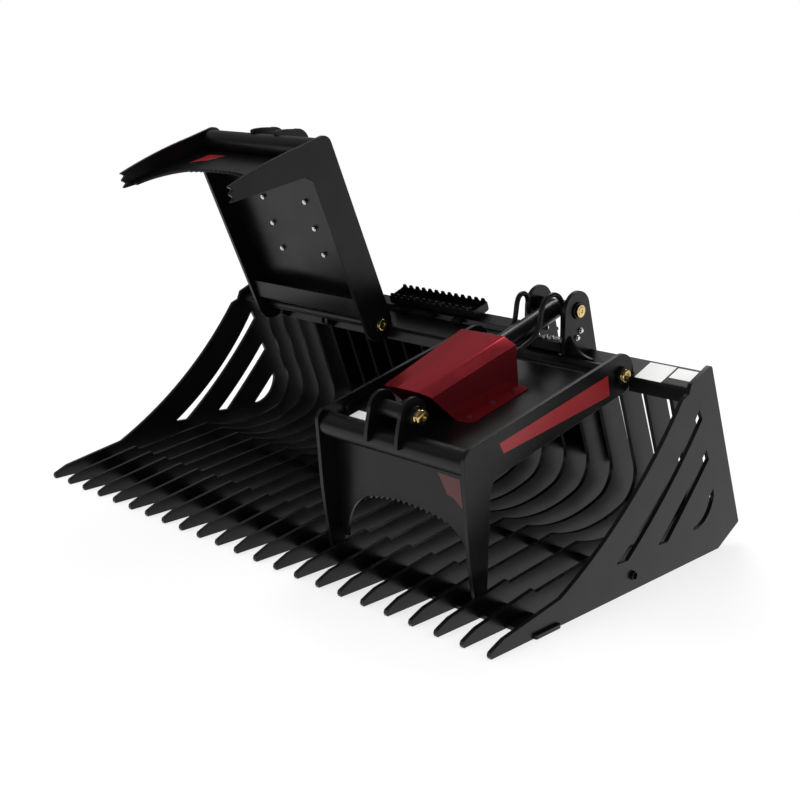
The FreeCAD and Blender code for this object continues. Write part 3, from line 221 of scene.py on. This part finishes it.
def new_material(name):
    material = bpy.data.materials.new(name)
    material.use_nodes = True
    tree = material.node_tree
    shader = tree.nodes["Principled BSDF"]
    return material, tree, shader


def mix_colour(tree, mask, first, second):
    node = tree.nodes.new("ShaderNodeMix")
    node.data_type = "RGBA"
    tree.links.new(mask, node.inputs["Factor"])
    for label, value in (("A", first), ("B", second)):
        socket = [s for s in node.inputs if s.name == label and s.type == "RGBA"][0]
        if isinstance(value, tuple):
            socket.default_value = value + (1.0,)
        else:
            tree.links.new(value, socket)
    return [s for s in node.outputs if s.type == "RGBA"][0]


def add_bump(tree, shader, height, strength, distance):
    bump = tree.nodes.new("ShaderNodeBump")
    bump.inputs["Strength"].default_value = strength
    bump.inputs["Distance"].default_value = distance
    tree.links.new(height, bump.inputs["Height"])
    tree.links.new(bump.outputs["Normal"], shader.inputs["Normal"])


def coat(name, colour, deep, rough, spread, grain, metallic=0.0, dust=0.008, rub_and_highlight=0.1,
         bare_and_highlight=(0.03, 0.03, 0.032), gloss=0.29, peel=0.08, edge_tint=(1, 1, 1)):
    """Baked coat over steel: two close tones, orange peel, edges lightened as rubbed wear and painted
    highlight, dust.
    """
    material, tree, shader = new_material(name)
    place = tree.nodes.new("ShaderNodeTexCoord").outputs["Object"]
    tone = mix_colour(tree, noise(tree, place, 3.5, 6.0, 0.6), deep, colour)
    edge = use_group(tree, EDGE_RUB_AND_HIGHLIGHT, Width=0.003, Amount=rub_and_highlight)
    film = use_group(tree, DUST, Amount=dust)
    # Lighter edges: partly rubbed wear, partly painted highlight
    tone = mix_colour(tree, edge.outputs["Mask"], tone, bare_and_highlight)
    tone = mix_colour(tree, film.outputs["Mask"], tone, (0.1, 0.095, 0.09))
    skin = use_group(tree, ORANGE_PEEL, Grain=grain, Rough=rough, Spread=spread)
    tree.links.new(tone, shader.inputs["Base Color"])
    tree.links.new(skin.outputs["Roughness"], shader.inputs["Roughness"])
    shader.inputs["Metallic"].default_value = metallic
    shader.inputs["Specular IOR Level"].default_value = gloss
    shader.inputs["Specular Tint"].default_value = edge_tint + (1,)
    add_bump(tree, shader, skin.outputs["Height"], peel, 0.0003)
    return material


def plated(name, bright, dull, rough, spread, grain=500.0, strength=0.05):
    """Plated or bare metal: uneven tone and fine tool marks."""
    material, tree, shader = new_material(name)
    place = tree.nodes.new("ShaderNodeTexCoord").outputs["Object"]
    patches = remap(tree, noise(tree, place, 45.0, 5.0, 0.6), 0.35, 0.65, 0.0, 1.0)
    tone = mix_colour(tree, patches, dull, bright)
    peel = use_group(tree, ORANGE_PEEL, Grain=grain, Rough=rough, Spread=spread)
    tree.links.new(tone, shader.inputs["Base Color"])
    tree.links.new(peel.outputs["Roughness"], shader.inputs["Roughness"])
    shader.inputs["Metallic"].default_value = 1.0
    add_bump(tree, shader, peel.outputs["Height"], strength, 0.0003)
    return material


def printed(name, colour, deep, rough=0.35):
    """Printed film of a label: nearly even ink under a thin clear layer."""
    material, tree, shader = new_material(name)
    place = tree.nodes.new("ShaderNodeTexCoord").outputs["Object"]
    tone = mix_colour(tree, noise(tree, place, 30.0, 4.0, 0.6), deep, colour)
    film = use_group(tree, DUST, Amount=0.06)
    tone = mix_colour(tree, film.outputs["Mask"], tone, (0.25, 0.24, 0.23))
    peel = use_group(tree, ORANGE_PEEL, Grain=700.0, Rough=rough, Spread=0.04)
    tree.links.new(tone, shader.inputs["Base Color"])
    tree.links.new(peel.outputs["Roughness"], shader.inputs["Roughness"])
    add_bump(tree, shader, peel.outputs["Height"], 0.04, 0.0002)
    return material


BLACK = coat("satin_black_coat", (0.0026, 0.0026, 0.0028), (0.0015, 0.0015, 0.0016), 0.32, 0.04, 430.0)
FINISH = {
    "black_coat": BLACK,
    "red_coat": coat("deep_red_coat", (0.36, 0.031, 0.041), (0.33, 0.027, 0.037), 0.2, 0.02, 500.0,
                     metallic=0.85, peel=0.02, edge_tint=(1.0, 0.6, 0.6), dust=0.0, rub_and_highlight=0.0,
                     bare_and_highlight=(0.5, 0.06, 0.07)),
    "zinc_yellow": plated("yellow_zinc", (0.80, 0.62, 0.28), (0.62, 0.44, 0.15), 0.2, 0.05),
    "bright_bolt": plated("bright_zinc", (0.78, 0.78, 0.8), (0.6, 0.6, 0.62), 0.2, 0.06),
    "hose_rubber": coat("hose_rubber", (0.006, 0.006, 0.006), (0.004, 0.004, 0.004), 0.42, 0.06, 900.0),
    "hard_chrome": plated("hard_chrome", (0.86, 0.86, 0.88), (0.78, 0.78, 0.8), 0.1, 0.03),
}
BAND_RED = printed("band_red", (0.26, 0.007, 0.011), (0.22, 0.005, 0.009))
# Darker copy of the band red: painted shade for the shield on the closed arm's arch face
SHADED_SHIELD_RED = printed("shield_red_painted_shade", (0.085, 0.006, 0.008), (0.065, 0.004, 0.006))
LABEL_WHITE = printed("label_white", (0.78, 0.78, 0.77), (0.70, 0.70, 0.69))


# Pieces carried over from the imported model, with their edges rounded

def clean(bm):
    bmesh.ops.remove_doubles(bm, verts=bm.verts, dist=0.000005)
    bmesh.ops.dissolve_limit(bm, angle_limit=math.radians(0.6), verts=bm.verts, edges=bm.edges)


def round_folds(bm):
    """Round the guard's long outer folds like bent sheet."""
    folds = []
    for edge in bm.edges:
        if edge.calc_length() > 0.2 and len(edge.link_faces) == 2 and edge.is_convex:
            turn = edge.calc_face_angle()
            if math.radians(8) < turn < math.radians(80):
                folds.append(edge)
    bmesh.ops.bevel(bm, geom=folds, offset=FOLD, segments=4, profile=0.5, affect="EDGES", clamp_overlap=True)


def dress(name, edge, rework=None, corner_segments=2):
    """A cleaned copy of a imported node: welded, flat faces joined, edges rounded."""
    source = frame["nodes"][name]
    mesh = source.data.copy()
    mesh.materials.clear()
    bm = bmesh.new()
    bm.from_mesh(mesh)
    clean(bm)
    if rework:
        rework(bm)
    bmesh.ops.recalc_face_normals(bm, faces=bm.faces)
    bm.to_mesh(mesh)
    bm.free()
    if "custom_normal" in mesh.attributes:
        mesh.attributes.remove(mesh.attributes["custom_normal"])
    mesh.shade_smooth()
    mesh.set_sharp_from_angle(angle=math.radians(32))
    piece = bpy.data.objects.new("dressed_" + name, mesh)
    bpy.context.scene.collection.objects.link(piece)
    if edge > 0:
        bevel = piece.modifiers.new("edges", "BEVEL")
        bevel.width = edge
        bevel.segments = corner_segments
        bevel.limit_method = "ANGLE"
        bevel.angle_limit = math.radians(40)
        bevel.harden_normals = True
        bevel.miter_outer = "MITER_ARC"
        bevel.use_clamp_overlap = True
    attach(piece, source["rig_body"])
    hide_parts(name)
    return piece


def blacken(piece, is_black):
    """Give the black coat to the faces that a test picks by their middle."""
    piece.data.materials.append(BLACK)
    for face in piece.data.polygons:
        if is_black(face.center):
            face.material_index = 1


def off_middle(point):
    """Distance across from the middle of the grapple that a point is on."""
    return abs(abs(point.x) - GRAPPLE_X)


def collar_of_hinge(point):
    return off_middle(point) < SIDE_FACE + HINGE_HEAD * COLLAR_SHARE


def collar_of_rear(point):
    return off_middle(point) < EAR_HALF + REAR_HEAD * COLLAR_SHARE


def collar_of_front(point):
    out = abs(point.x) - GRAPPLE_X
    return out < FRONT_EAR_OUT + FRONT_HEAD * COLLAR_SHARE


def front_pin_place(right):
    """Front pin's (y, z): as built on the closed grapple, swung up on the open one."""
    y, z = FRONT_PIN[0], FRONT_PIN[1] - HINGE_Z
    if right:
        return y, z + HINGE_Z
    return (y * math.cos(OPENING) + z * math.sin(OPENING),
            -y * math.sin(OPENING) + z * math.cos(OPENING) + HINGE_Z)


def near_front_pin(point):
    y, z = front_pin_place(point.x > 0)
    return math.hypot(point.y - y, point.z - z) < FRONT_PIN_REACH


def pin_axis(kind, right):
    """A pin's (y, z)."""
    if kind == "hinge_pins":
        return 0.0, HINGE_Z
    if kind == "rear_pins":
        return REAR_PIN
    return front_pin_place(right)


def head_start(kind):
    """How far from the grapple's middle a pin's heads begin."""
    if kind == "hinge_pins":
        return SIDE_FACE
    if kind == "rear_pins":
        return EAR_HALF
    return FRONT_EAR_OUT


def full_heads(kind):
    """Rework that brings the pin heads to their full width, collar and cap."""
    def grow(bm):
        for vert in bm.verts:
            out = abs(vert.co.x) - GRAPPLE_X if kind == "front_pin" else off_middle(vert.co)
            if out < head_start(kind) - HEAD_SLACK:
                continue
            y, z = pin_axis(kind, vert.co.x > 0)
            is_collar = COLLAR[kind](vert.co)
            growth = COLLAR_GROWTH[kind] if is_collar else CAP_GROWTH[kind]
            reach = math.hypot(vert.co.y - y, vert.co.z - z)
            if reach < SHAFT_REACH:
                continue
            vert.co.y = y + (vert.co.y - y) * growth
            vert.co.z = z + (vert.co.z - z) * growth
    return grow


COLLAR = {"hinge_pins": collar_of_hinge, "rear_pins": collar_of_rear, "front_pin": collar_of_front}


# The closed arm's own frame: out from its middle, along it and above it

def on_arm(point, right):
    x = abs(point.x) - GRAPPLE_X
    y, z = point.y, point.z - HINGE_Z
    if not right:
        y, z = (y * math.cos(OPENING) - z * math.sin(OPENING), y * math.sin(OPENING) + z * math.cos(OPENING))
    c, n = math.cos(ARM_TILT), math.sin(ARM_TILT)
    return x, -c * y - n * z, -n * y + c * z


def off_arm(x, s, h, right):
    c, n = math.cos(ARM_TILT), math.sin(ARM_TILT)
    y, z = -c * s - n * h, -n * s + c * h
    if not right:
        y, z = (y * math.cos(OPENING) + z * math.sin(OPENING), -y * math.sin(OPENING) + z * math.cos(OPENING))
    return Vector(((1 if right else -1) * (GRAPPLE_X + x), y, z + HINGE_Z))


# Rear end of the guard: how far it reaches, its height, and the inner corner and crease,
# each with its shift outwards and along the arm
GUARD_REAR_END = 0.230
GUARD_CROWN = 0.12
INNER_CORNER = -0.09
INNER_CREASE = -0.05
CORNER_FLARE = (0.030, -0.007)
CREASE_FLARE = (0.013, 0.005)


def shape_guard(bm):
    """Flare the hood's inner rear corner and round its long folds."""
    for vert in bm.verts:
        right = vert.co.x > 0
        x, s, h = on_arm(vert.co, right)
        if s > GUARD_REAR_END or h < GUARD_CROWN:
            continue
        if x < INNER_CORNER:
            vert.co = off_arm(x - CORNER_FLARE[0], s + CORNER_FLARE[1], h, right)
        elif x < INNER_CREASE:
            vert.co = off_arm(x - CREASE_FLARE[0], s + CREASE_FLARE[1], h, right)
    round_folds(bm)


FRONT_TUBE = (-0.630, -0.118)
TUBE_GROWTH = 1.4
TUBE_DROP = 0.010


def full_front_tube(bm):
    """Bring the front tube to its full width, its top edge kept."""
    c, n = math.cos(ARM_TILT), math.sin(ARM_TILT)
    s0, h0 = -c * FRONT_TUBE[0] - n * FRONT_TUBE[1], -n * FRONT_TUBE[0] + c * FRONT_TUBE[1]
    for vert in bm.verts:
        right = vert.co.x > 0
        x, s, h = on_arm(vert.co, right)
        vert.co = off_arm(x, s0 + (s - s0) * TUBE_GROWTH, h0 - TUBE_DROP + (h - h0) * TUBE_GROWTH, right)


# Step on the beam's rear ledge

BEAM_TILT = math.atan2(0.035, 0.095)
STEP_FLOOR = (0.1475, 0.5745)
STEP_MOVE = (0.0178, 0.0131)
STEP_WIDEN = 1.25
STEP_LENGTHEN = 1.02
STEP_SIDEWAYS = 0.006
STEP_MID = -0.095


def widen_step(bm):
    """Bring the step to its full width, on the ledge behind the beam."""
    c, n = math.cos(BEAM_TILT), math.sin(BEAM_TILT)
    for vert in bm.verts:
        y, z = vert.co.y - STEP_FLOOR[0], vert.co.z - STEP_FLOOR[1]
        along, up = (c * y + n * z) * STEP_WIDEN, -n * y + c * z
        vert.co.x = STEP_MID + (vert.co.x - STEP_MID) * STEP_LENGTHEN + STEP_SIDEWAYS
        vert.co.y = STEP_FLOOR[0] + STEP_MOVE[0] + c * along - n * up
        vert.co.z = STEP_FLOOR[1] + STEP_MOVE[1] + n * along + c * up


SLOT = {row["node"]: row["material_slot"] for row in frame["record"]["subparts"]}
TWO_TONE = {**COLLAR, "cylinder_rod": near_front_pin}
HOSES = ("right_hose_near", "right_hose_far")
STEP_NODES = ("step_tread", "step_ends", "step_bolts", "step_brackets")


def dress_all():
    """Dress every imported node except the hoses, which are made anew."""
    for name in sorted(frame["nodes"]):
        if name in HOSES:
            continue
        slot = SLOT[name]
        kind = name.split("_", 1)[1] if name.startswith(("left_", "right_")) else name
        edge = PLATE_EDGE if slot in ("black_coat", "red_coat") else PIN_EDGE
        if kind in COLLAR:
            piece = dress(name, HEAD_EDGE, full_heads(kind), 3)
        elif kind == "guard":
            piece = dress(name, SHEET_EDGE, shape_guard)
        elif kind == "front_tube":
            piece = dress(name, TUBE_EDGE, full_front_tube)
        elif kind == "guard_bolts":
            piece = dress(name, BOLT_EDGE, corner_segments=3)
        elif name in STEP_NODES:
            piece = dress(name, PIN_EDGE, widen_step)
        else:
            piece = dress(name, edge)
        piece.data.materials.append(FINISH[slot])
        if kind in TWO_TONE:
            blacken(piece, TWO_TONE[kind])


dress_all()


# Hoses between the valve block and the barrel of the closed grapple: points in millimetres from the hinge

STEM_LEAD = [(0, 27, 68), (0, 27, 101)]
NEAR_HOSE = [(0, 25.5, 135), (0, 23, 169), (0, 3.9, 195.6), (0, -27, 205.6), (0, -57.9, 195.6),
             (0, -77, 169.3), (0, -82, 137), (0, -92, 107), (0, -116, 85), (0, -148, 73), (0, -182, 62)]
FAR_HOSE = [(4, 12, 117), (7, -6, 134), (8, -12, 155), (8, -12, 175), (6, -23.8, 191.4), (4, -43, 197.6),
            (2, -62.2, 191.4), (0, -73, 173), (-1, -77, 148), (-1, -82, 120), (-0.5, -94, 96), (0, -118, 78),
            (0, -150, 68), (0, -184, 59)]
FERRULE_LEAD = [(0, -216.4, 48.9), (0, -248.15, 39.9)]
HOSE_SIDE = 0.048
HOSE_R = 0.0078


def make_hose(name, route, side):
    """Round hose through its route's control points, bending where it enters the arm."""
    points = []
    for x, y, z in STEM_LEAD + route + FERRULE_LEAD:
        points.append((GRAPPLE_X + side * (HOSE_SIDE + x / 1000), y / 1000, HINGE_Z + z / 1000))
    curve = bpy.data.curves.new(name + "_path", "CURVE")
    curve.dimensions = "3D"
    curve.bevel_depth = HOSE_R
    curve.bevel_resolution = 6
    curve.resolution_u = 10
    curve.use_fill_caps = True
    spline = curve.splines.new("NURBS")
    spline.points.add(len(points) - 1)
    for slot, point in zip(spline.points, points):
        slot.co = point + (1.0,)
    spline.order_u = 3
    spline.use_endpoint_u = True
    carrier = bpy.data.objects.new(name + "_path", curve)
    bpy.context.scene.collection.objects.link(carrier)
    shape = carrier.evaluated_get(bpy.context.evaluated_depsgraph_get())
    mesh = bpy.data.meshes.new_from_object(shape)
    bpy.data.objects.remove(carrier)
    bm = bmesh.new()
    bm.from_mesh(mesh)
    bmesh.ops.recalc_face_normals(bm, faces=bm.faces)
    bm.to_mesh(mesh)
    bm.free()
    mesh.shade_smooth()
    mesh.set_sharp_from_angle(angle=math.radians(40))
    mesh.materials.clear()
    mesh.materials.append(FINISH["hose_rubber"])
    hose = bpy.data.objects.new("dressed_" + name, mesh)
    bpy.context.scene.collection.objects.link(hose)
    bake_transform(hose)
    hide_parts(name)


make_hose("right_hose_near", NEAR_HOSE, 1)
make_hose("right_hose_far", FAR_HOSE, -1)


# Folded ledge behind the beam, which carries the step

LEDGE_FRONT = (0.132, 0.5725)
LEDGE_WIDTH = 0.053
LEDGE_T = 0.0095
LEDGE_HALF = 0.405


def rear_ledge():
    """Bent strip: a riser on the beam's rear edge and a top that goes on its slope."""
    c, n = math.cos(BEAM_TILT), math.sin(BEAM_TILT)
    y, z = LEDGE_FRONT
    section = [(y, z), (y + c * LEDGE_WIDTH, z + n * LEDGE_WIDTH),
               (y + c * LEDGE_WIDTH + n * LEDGE_T, z + n * LEDGE_WIDTH - c * LEDGE_T),
               (y + LEDGE_T + 0.003, z - LEDGE_T * 0.8), (y + LEDGE_T, z - 0.03), (y, z - 0.03)]
    bm = bmesh.new()
    rows = []
    for x in (-LEDGE_HALF, LEDGE_HALF):
        rows.append([bm.verts.new((x, a, b)) for a, b in section])
    bm.faces.new(rows[0])
    bm.faces.new(rows[1][::-1])
    for index in range(len(section)):
        after = (index + 1) % len(section)
        bm.faces.new([rows[0][index], rows[0][after], rows[1][after], rows[1][index]])
    bmesh.ops.recalc_face_normals(bm, faces=bm.faces)
    mesh = bpy.data.meshes.new("rear_ledge")
    bm.to_mesh(mesh)
    bm.free()
    piece = bpy.data.objects.new("rear_ledge", mesh)
    bpy.context.scene.collection.objects.link(piece)
    mesh.shade_smooth()
    mesh.set_sharp_from_angle(angle=math.radians(32))
    bevel = piece.modifiers.new("edges", "BEVEL")
    bevel.width = 0.0018
    bevel.segments = 3
    bevel.limit_method = "ANGLE"
    bevel.harden_normals = True
    mesh.materials.append(BLACK)
    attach(piece, "bucket")


rear_ledge()


# Films and labels, left bare

FILM = 0.00025


def film(name, corners, normal, material, body, lift=0.0):
    """Thin sheet over a flat face: corners in space in order, normal outwards."""
    normal = Vector(normal).normalized()
    bm = bmesh.new()
    verts = [bm.verts.new(Vector(c) + normal * (lift + 0.00003)) for c in corners]
    face = bm.faces.new(verts)
    out = bmesh.ops.extrude_face_region(bm, geom=[face])
    top = [v for v in out["geom"] if isinstance(v, bmesh.types.BMVert)]
    bmesh.ops.translate(bm, verts=top, vec=normal * FILM)
    bmesh.ops.recalc_face_normals(bm, faces=bm.faces)
    mesh = bpy.data.meshes.new(name)
    bm.to_mesh(mesh)
    bm.free()
    piece = bpy.data.objects.new(name, mesh)
    bpy.context.scene.collection.objects.link(piece)
    mesh.materials.append(material)
    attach(piece, body)
    return piece


BAND_X = 0.775
BAND_CORNERS = [(-0.532, 0.446), (-0.064, 0.543), (-0.052, 0.482), (-0.514, 0.415)]


def band_of_side():
    corners = [(BAND_X, y, z) for y, z in BAND_CORNERS]
    film("side_band", corners, (1, 0, 0), BAND_RED, "right_grapple")


ARCH_LEAN = math.radians(3.6)
ARCH_FACE = -0.596
ARCH_PIVOT = 0.25
SHIELD_LIFT = 0.0001
SHIELD = [(0.1275, -0.187), (0.2065, -0.190), (0.2135, -0.273), (0.1815, -0.248), (0.1585, -0.243)]


def arch_shield(name, side, body):
    """Shield shaped film on an arch plate's front face, at its outer upper corner."""
    corners = []
    for x, drop in SHIELD:
        y = ARCH_FACE + (drop + ARCH_PIVOT) * -math.tan(ARCH_LEAN)
        if side > 0:
            corners.append((GRAPPLE_X + x, y, HINGE_Z + drop))
        else:
            corners.append((-GRAPPLE_X - x, y * math.cos(OPENING) + drop * math.sin(OPENING),
                            -y * math.sin(OPENING) + drop * math.cos(OPENING) + HINGE_Z))
    normal = Vector((0, -math.cos(ARCH_LEAN), -math.sin(ARCH_LEAN)))
    if side < 0:
        normal = Vector((0, normal.y * math.cos(OPENING) + normal.z * math.sin(OPENING),
                         -normal.y * math.sin(OPENING) + normal.z * math.cos(OPENING)))
    # The closed arm's shield gets the darker red, painted shade; the open arm's gets the band red
    film(name, corners, normal, SHADED_SHIELD_RED if side > 0 else BAND_RED, body, SHIELD_LIFT)


BEAM_TOP = (0.037, 0.520)
ARM_TOP = 0.015


def beam_spot(x, y):
    return (x, y, BEAM_TOP[1] + math.tan(BEAM_TILT) * (y - BEAM_TOP[0]))


def beam_label(name, x0, x1, y0, y1):
    corners = [beam_spot(x0, y0), beam_spot(x1, y0), beam_spot(x1, y1), beam_spot(x0, y1)]
    film(name, corners, (0, -math.sin(BEAM_TILT), math.cos(BEAM_TILT)), LABEL_WHITE, "bucket")


def arm_spot(x, s, h):
    c, n = math.cos(ARM_TILT), math.sin(ARM_TILT)
    return (GRAPPLE_X + x, -c * s - n * h, HINGE_Z - n * s + c * h)


def arm_label(name, x0, x1, s0, s1):
    corners = [arm_spot(x, s, ARM_TOP) for x, s in ((x0, s0), (x1, s0), (x1, s1), (x0, s1))]
    film(name, corners, (0, -math.sin(ARM_TILT), math.cos(ARM_TILT)), LABEL_WHITE, "right_grapple")


band_of_side()
arch_shield("arch_shield_right", 1, "right_grapple")
arch_shield("arch_shield_left", -1, "left_grapple")
beam_label("beam_label_wide", 0.790, 0.880, 0.044, 0.124)
beam_label("beam_label_narrow", 0.887, 0.962, 0.073, 0.122)
arm_label("arm_label", -0.2425, -0.1685, 0.545, 0.592)


# Studio

def area_light(name, place, target, width, height, power):
    data = bpy.data.lights.new(name, "AREA")
    data.shape = "RECTANGLE"
    data.size = width
    data.size_y = height
    data.energy = power
    lamp = bpy.data.objects.new(name, data)
    bpy.context.scene.collection.objects.link(lamp)
    lamp.location = place
    lamp.visible_glossy = False
    direction = Vector(target) - Vector(place)
    lamp.rotation_euler = direction.to_track_quat("-Z", "Y").to_euler()


# Light of the sky on the object, and the soft box that metal shows
SKY_LEVEL = 1.0
LAMP_WAY = (-0.35, 0.60, 0.72)
LAMP_LEVEL = 7.0
LAMP_RIM = (0.974, 0.987)
SKY_STOPS = ((0.0, 0.9), (0.1, 0.2), (0.26, 0.17), (0.36, 0.2), (0.52, 0.33), (0.8, 0.24), (1.0, 0.2))

# Share of the floor's own white that the camera sees over its shadows
FLOOR_SHARE = 0.66


def tree_sum(tree, a, b):
    """Sum of two values, with no limit at 1."""
    node = tree.nodes.new("ShaderNodeMath")
    node.operation = "ADD"
    tree.links.new(a, node.inputs[0])
    tree.links.new(b, node.inputs[1])
    return node.outputs[0]


def combine(tree, *values):
    """Largest of several values."""
    result = values[0]
    for value in values[1:]:
        result = times(tree, result, value, "MAXIMUM")
    return result


def lay_floor():
    """White floor: shows white to the camera and in the metal, keeps a soft shadow."""
    bm = bmesh.new()
    bmesh.ops.create_grid(bm, x_segments=1, y_segments=1, size=60.0)
    bmesh.ops.translate(bm, verts=bm.verts, vec=(0, 0, -0.0005))
    mesh = bpy.data.meshes.new("white_floor")
    bm.to_mesh(mesh)
    bm.free()
    floor = bpy.data.objects.new("white_floor", mesh)
    bpy.context.scene.collection.objects.link(floor)
    material, tree, shader = new_material("floor_paper")
    shader.inputs["Base Color"].default_value = (1, 1, 1, 1)
    shader.inputs["Roughness"].default_value = 0.9
    shader.inputs["Specular IOR Level"].default_value = 0.0
    rays = tree.nodes.new("ShaderNodeLightPath")
    seen = times(tree, rays.outputs["Is Camera Ray"], FLOOR_SHARE)
    glow = combine(tree, rays.outputs["Is Glossy Ray"], rays.outputs["Is Transmission Ray"], seen)
    white = tree.nodes.new("ShaderNodeEmission")
    white.inputs["Color"].default_value = (1, 1, 1, 1)
    white.inputs["Strength"].default_value = 1.0
    mix = tree.nodes.new("ShaderNodeMixShader")
    tree.links.new(glow, mix.inputs["Fac"])
    tree.links.new(shader.outputs[0], mix.inputs[1])
    tree.links.new(white.outputs[0], mix.inputs[2])
    tree.links.new(mix.outputs[0], tree.nodes["Material Output"].inputs["Surface"])
    floor.data.materials.append(material)


def studio_world():
    """White to the camera; for the object white at the horizon, dim overhead."""
    world = bpy.data.worlds.new("studio")
    bpy.context.scene.world = world
    world.use_nodes = True
    tree = world.node_tree
    tree.nodes.clear()
    out = tree.nodes.new("ShaderNodeOutputWorld")
    place = tree.nodes.new("ShaderNodeTexCoord").outputs["Generated"]
    split = tree.nodes.new("ShaderNodeSeparateXYZ")
    tree.links.new(place, split.inputs["Vector"])
    rays = tree.nodes.new("ShaderNodeLightPath")
    ramp = tree.nodes.new("ShaderNodeValToRGB")
    for place_up, _ in SKY_STOPS[1:-1]:
        ramp.color_ramp.elements.new(place_up)
    for stop, (place_up, grey) in zip(ramp.color_ramp.elements, SKY_STOPS):
        stop.position = place_up
        stop.color = (grey, grey, grey, 1)
    tree.links.new(split.outputs["Z"], ramp.inputs["Fac"])
    turned = remap(tree, split.outputs["X"], -0.5, -0.1, 1.0, 0.2)
    near = tree.nodes.new("ShaderNodeVectorMath")
    near.operation = "DOT_PRODUCT"
    near.inputs[1].default_value = Vector(LAMP_WAY).normalized()
    tree.links.new(place, near.inputs[0])
    box = remap(tree, near.outputs["Value"], *LAMP_RIM, 0.0, LAMP_LEVEL)
    dark = times(tree, ramp.outputs["Color"], turned)
    high_up = remap(tree, split.outputs["Z"], 0.0, 0.12, 0.0, 1.0)
    dark = remap(tree, high_up, 0.0, 1.0, ramp.outputs["Color"], dark)
    dark = tree_sum(tree, dark, box)
    level = remap(tree, rays.outputs["Is Glossy Ray"], 0.0, 1.0, SKY_LEVEL, dark)
    plain = tree.nodes.new("ShaderNodeBackground")
    plain.inputs["Color"].default_value = (1, 1, 1, 1)
    tree.links.new(level, plain.inputs["Strength"])
    seen = tree.nodes.new("ShaderNodeBackground")
    seen.inputs["Color"].default_value = (1, 1, 1, 1)
    seen.inputs["Strength"].default_value = 1.0
    both = combine(tree, rays.outputs["Is Camera Ray"], rays.outputs["Is Transmission Ray"])
    mix = tree.nodes.new("ShaderNodeMixShader")
    tree.links.new(both, mix.inputs["Fac"])
    tree.links.new(plain.outputs[0], mix.inputs[1])
    tree.links.new(seen.outputs[0], mix.inputs[2])
    tree.links.new(mix.outputs[0], out.inputs["Surface"])


def place_camera():
    data = bpy.data.cameras.new("photo_camera")
    data.sensor_width = SENSOR
    data.sensor_fit = "HORIZONTAL"
    data.lens = LENS
    data.clip_end = 100.0
    camera = bpy.data.objects.new("photo_camera", data)
    bpy.context.scene.collection.objects.link(camera)
    camera.location = CAMERA_PLACE
    camera.rotation_euler = (math.pi / 2 - CAMERA_UP, 0.0, CAMERA_ROUND)
    bpy.context.scene.camera = camera


lay_floor()
studio_world()
place_camera()
area_light("back_panel", (-0.9, 1.7, 3.0), (0.4, -0.3, 0.6), 1.3, 1.3, 45)
area_light("left_panel", (-2.8, -1.8, 2.4), (0, 0, 0.4), 1.2, 1.2, 12)
bpy.context.scene.view_settings.view_transform = "Standard"
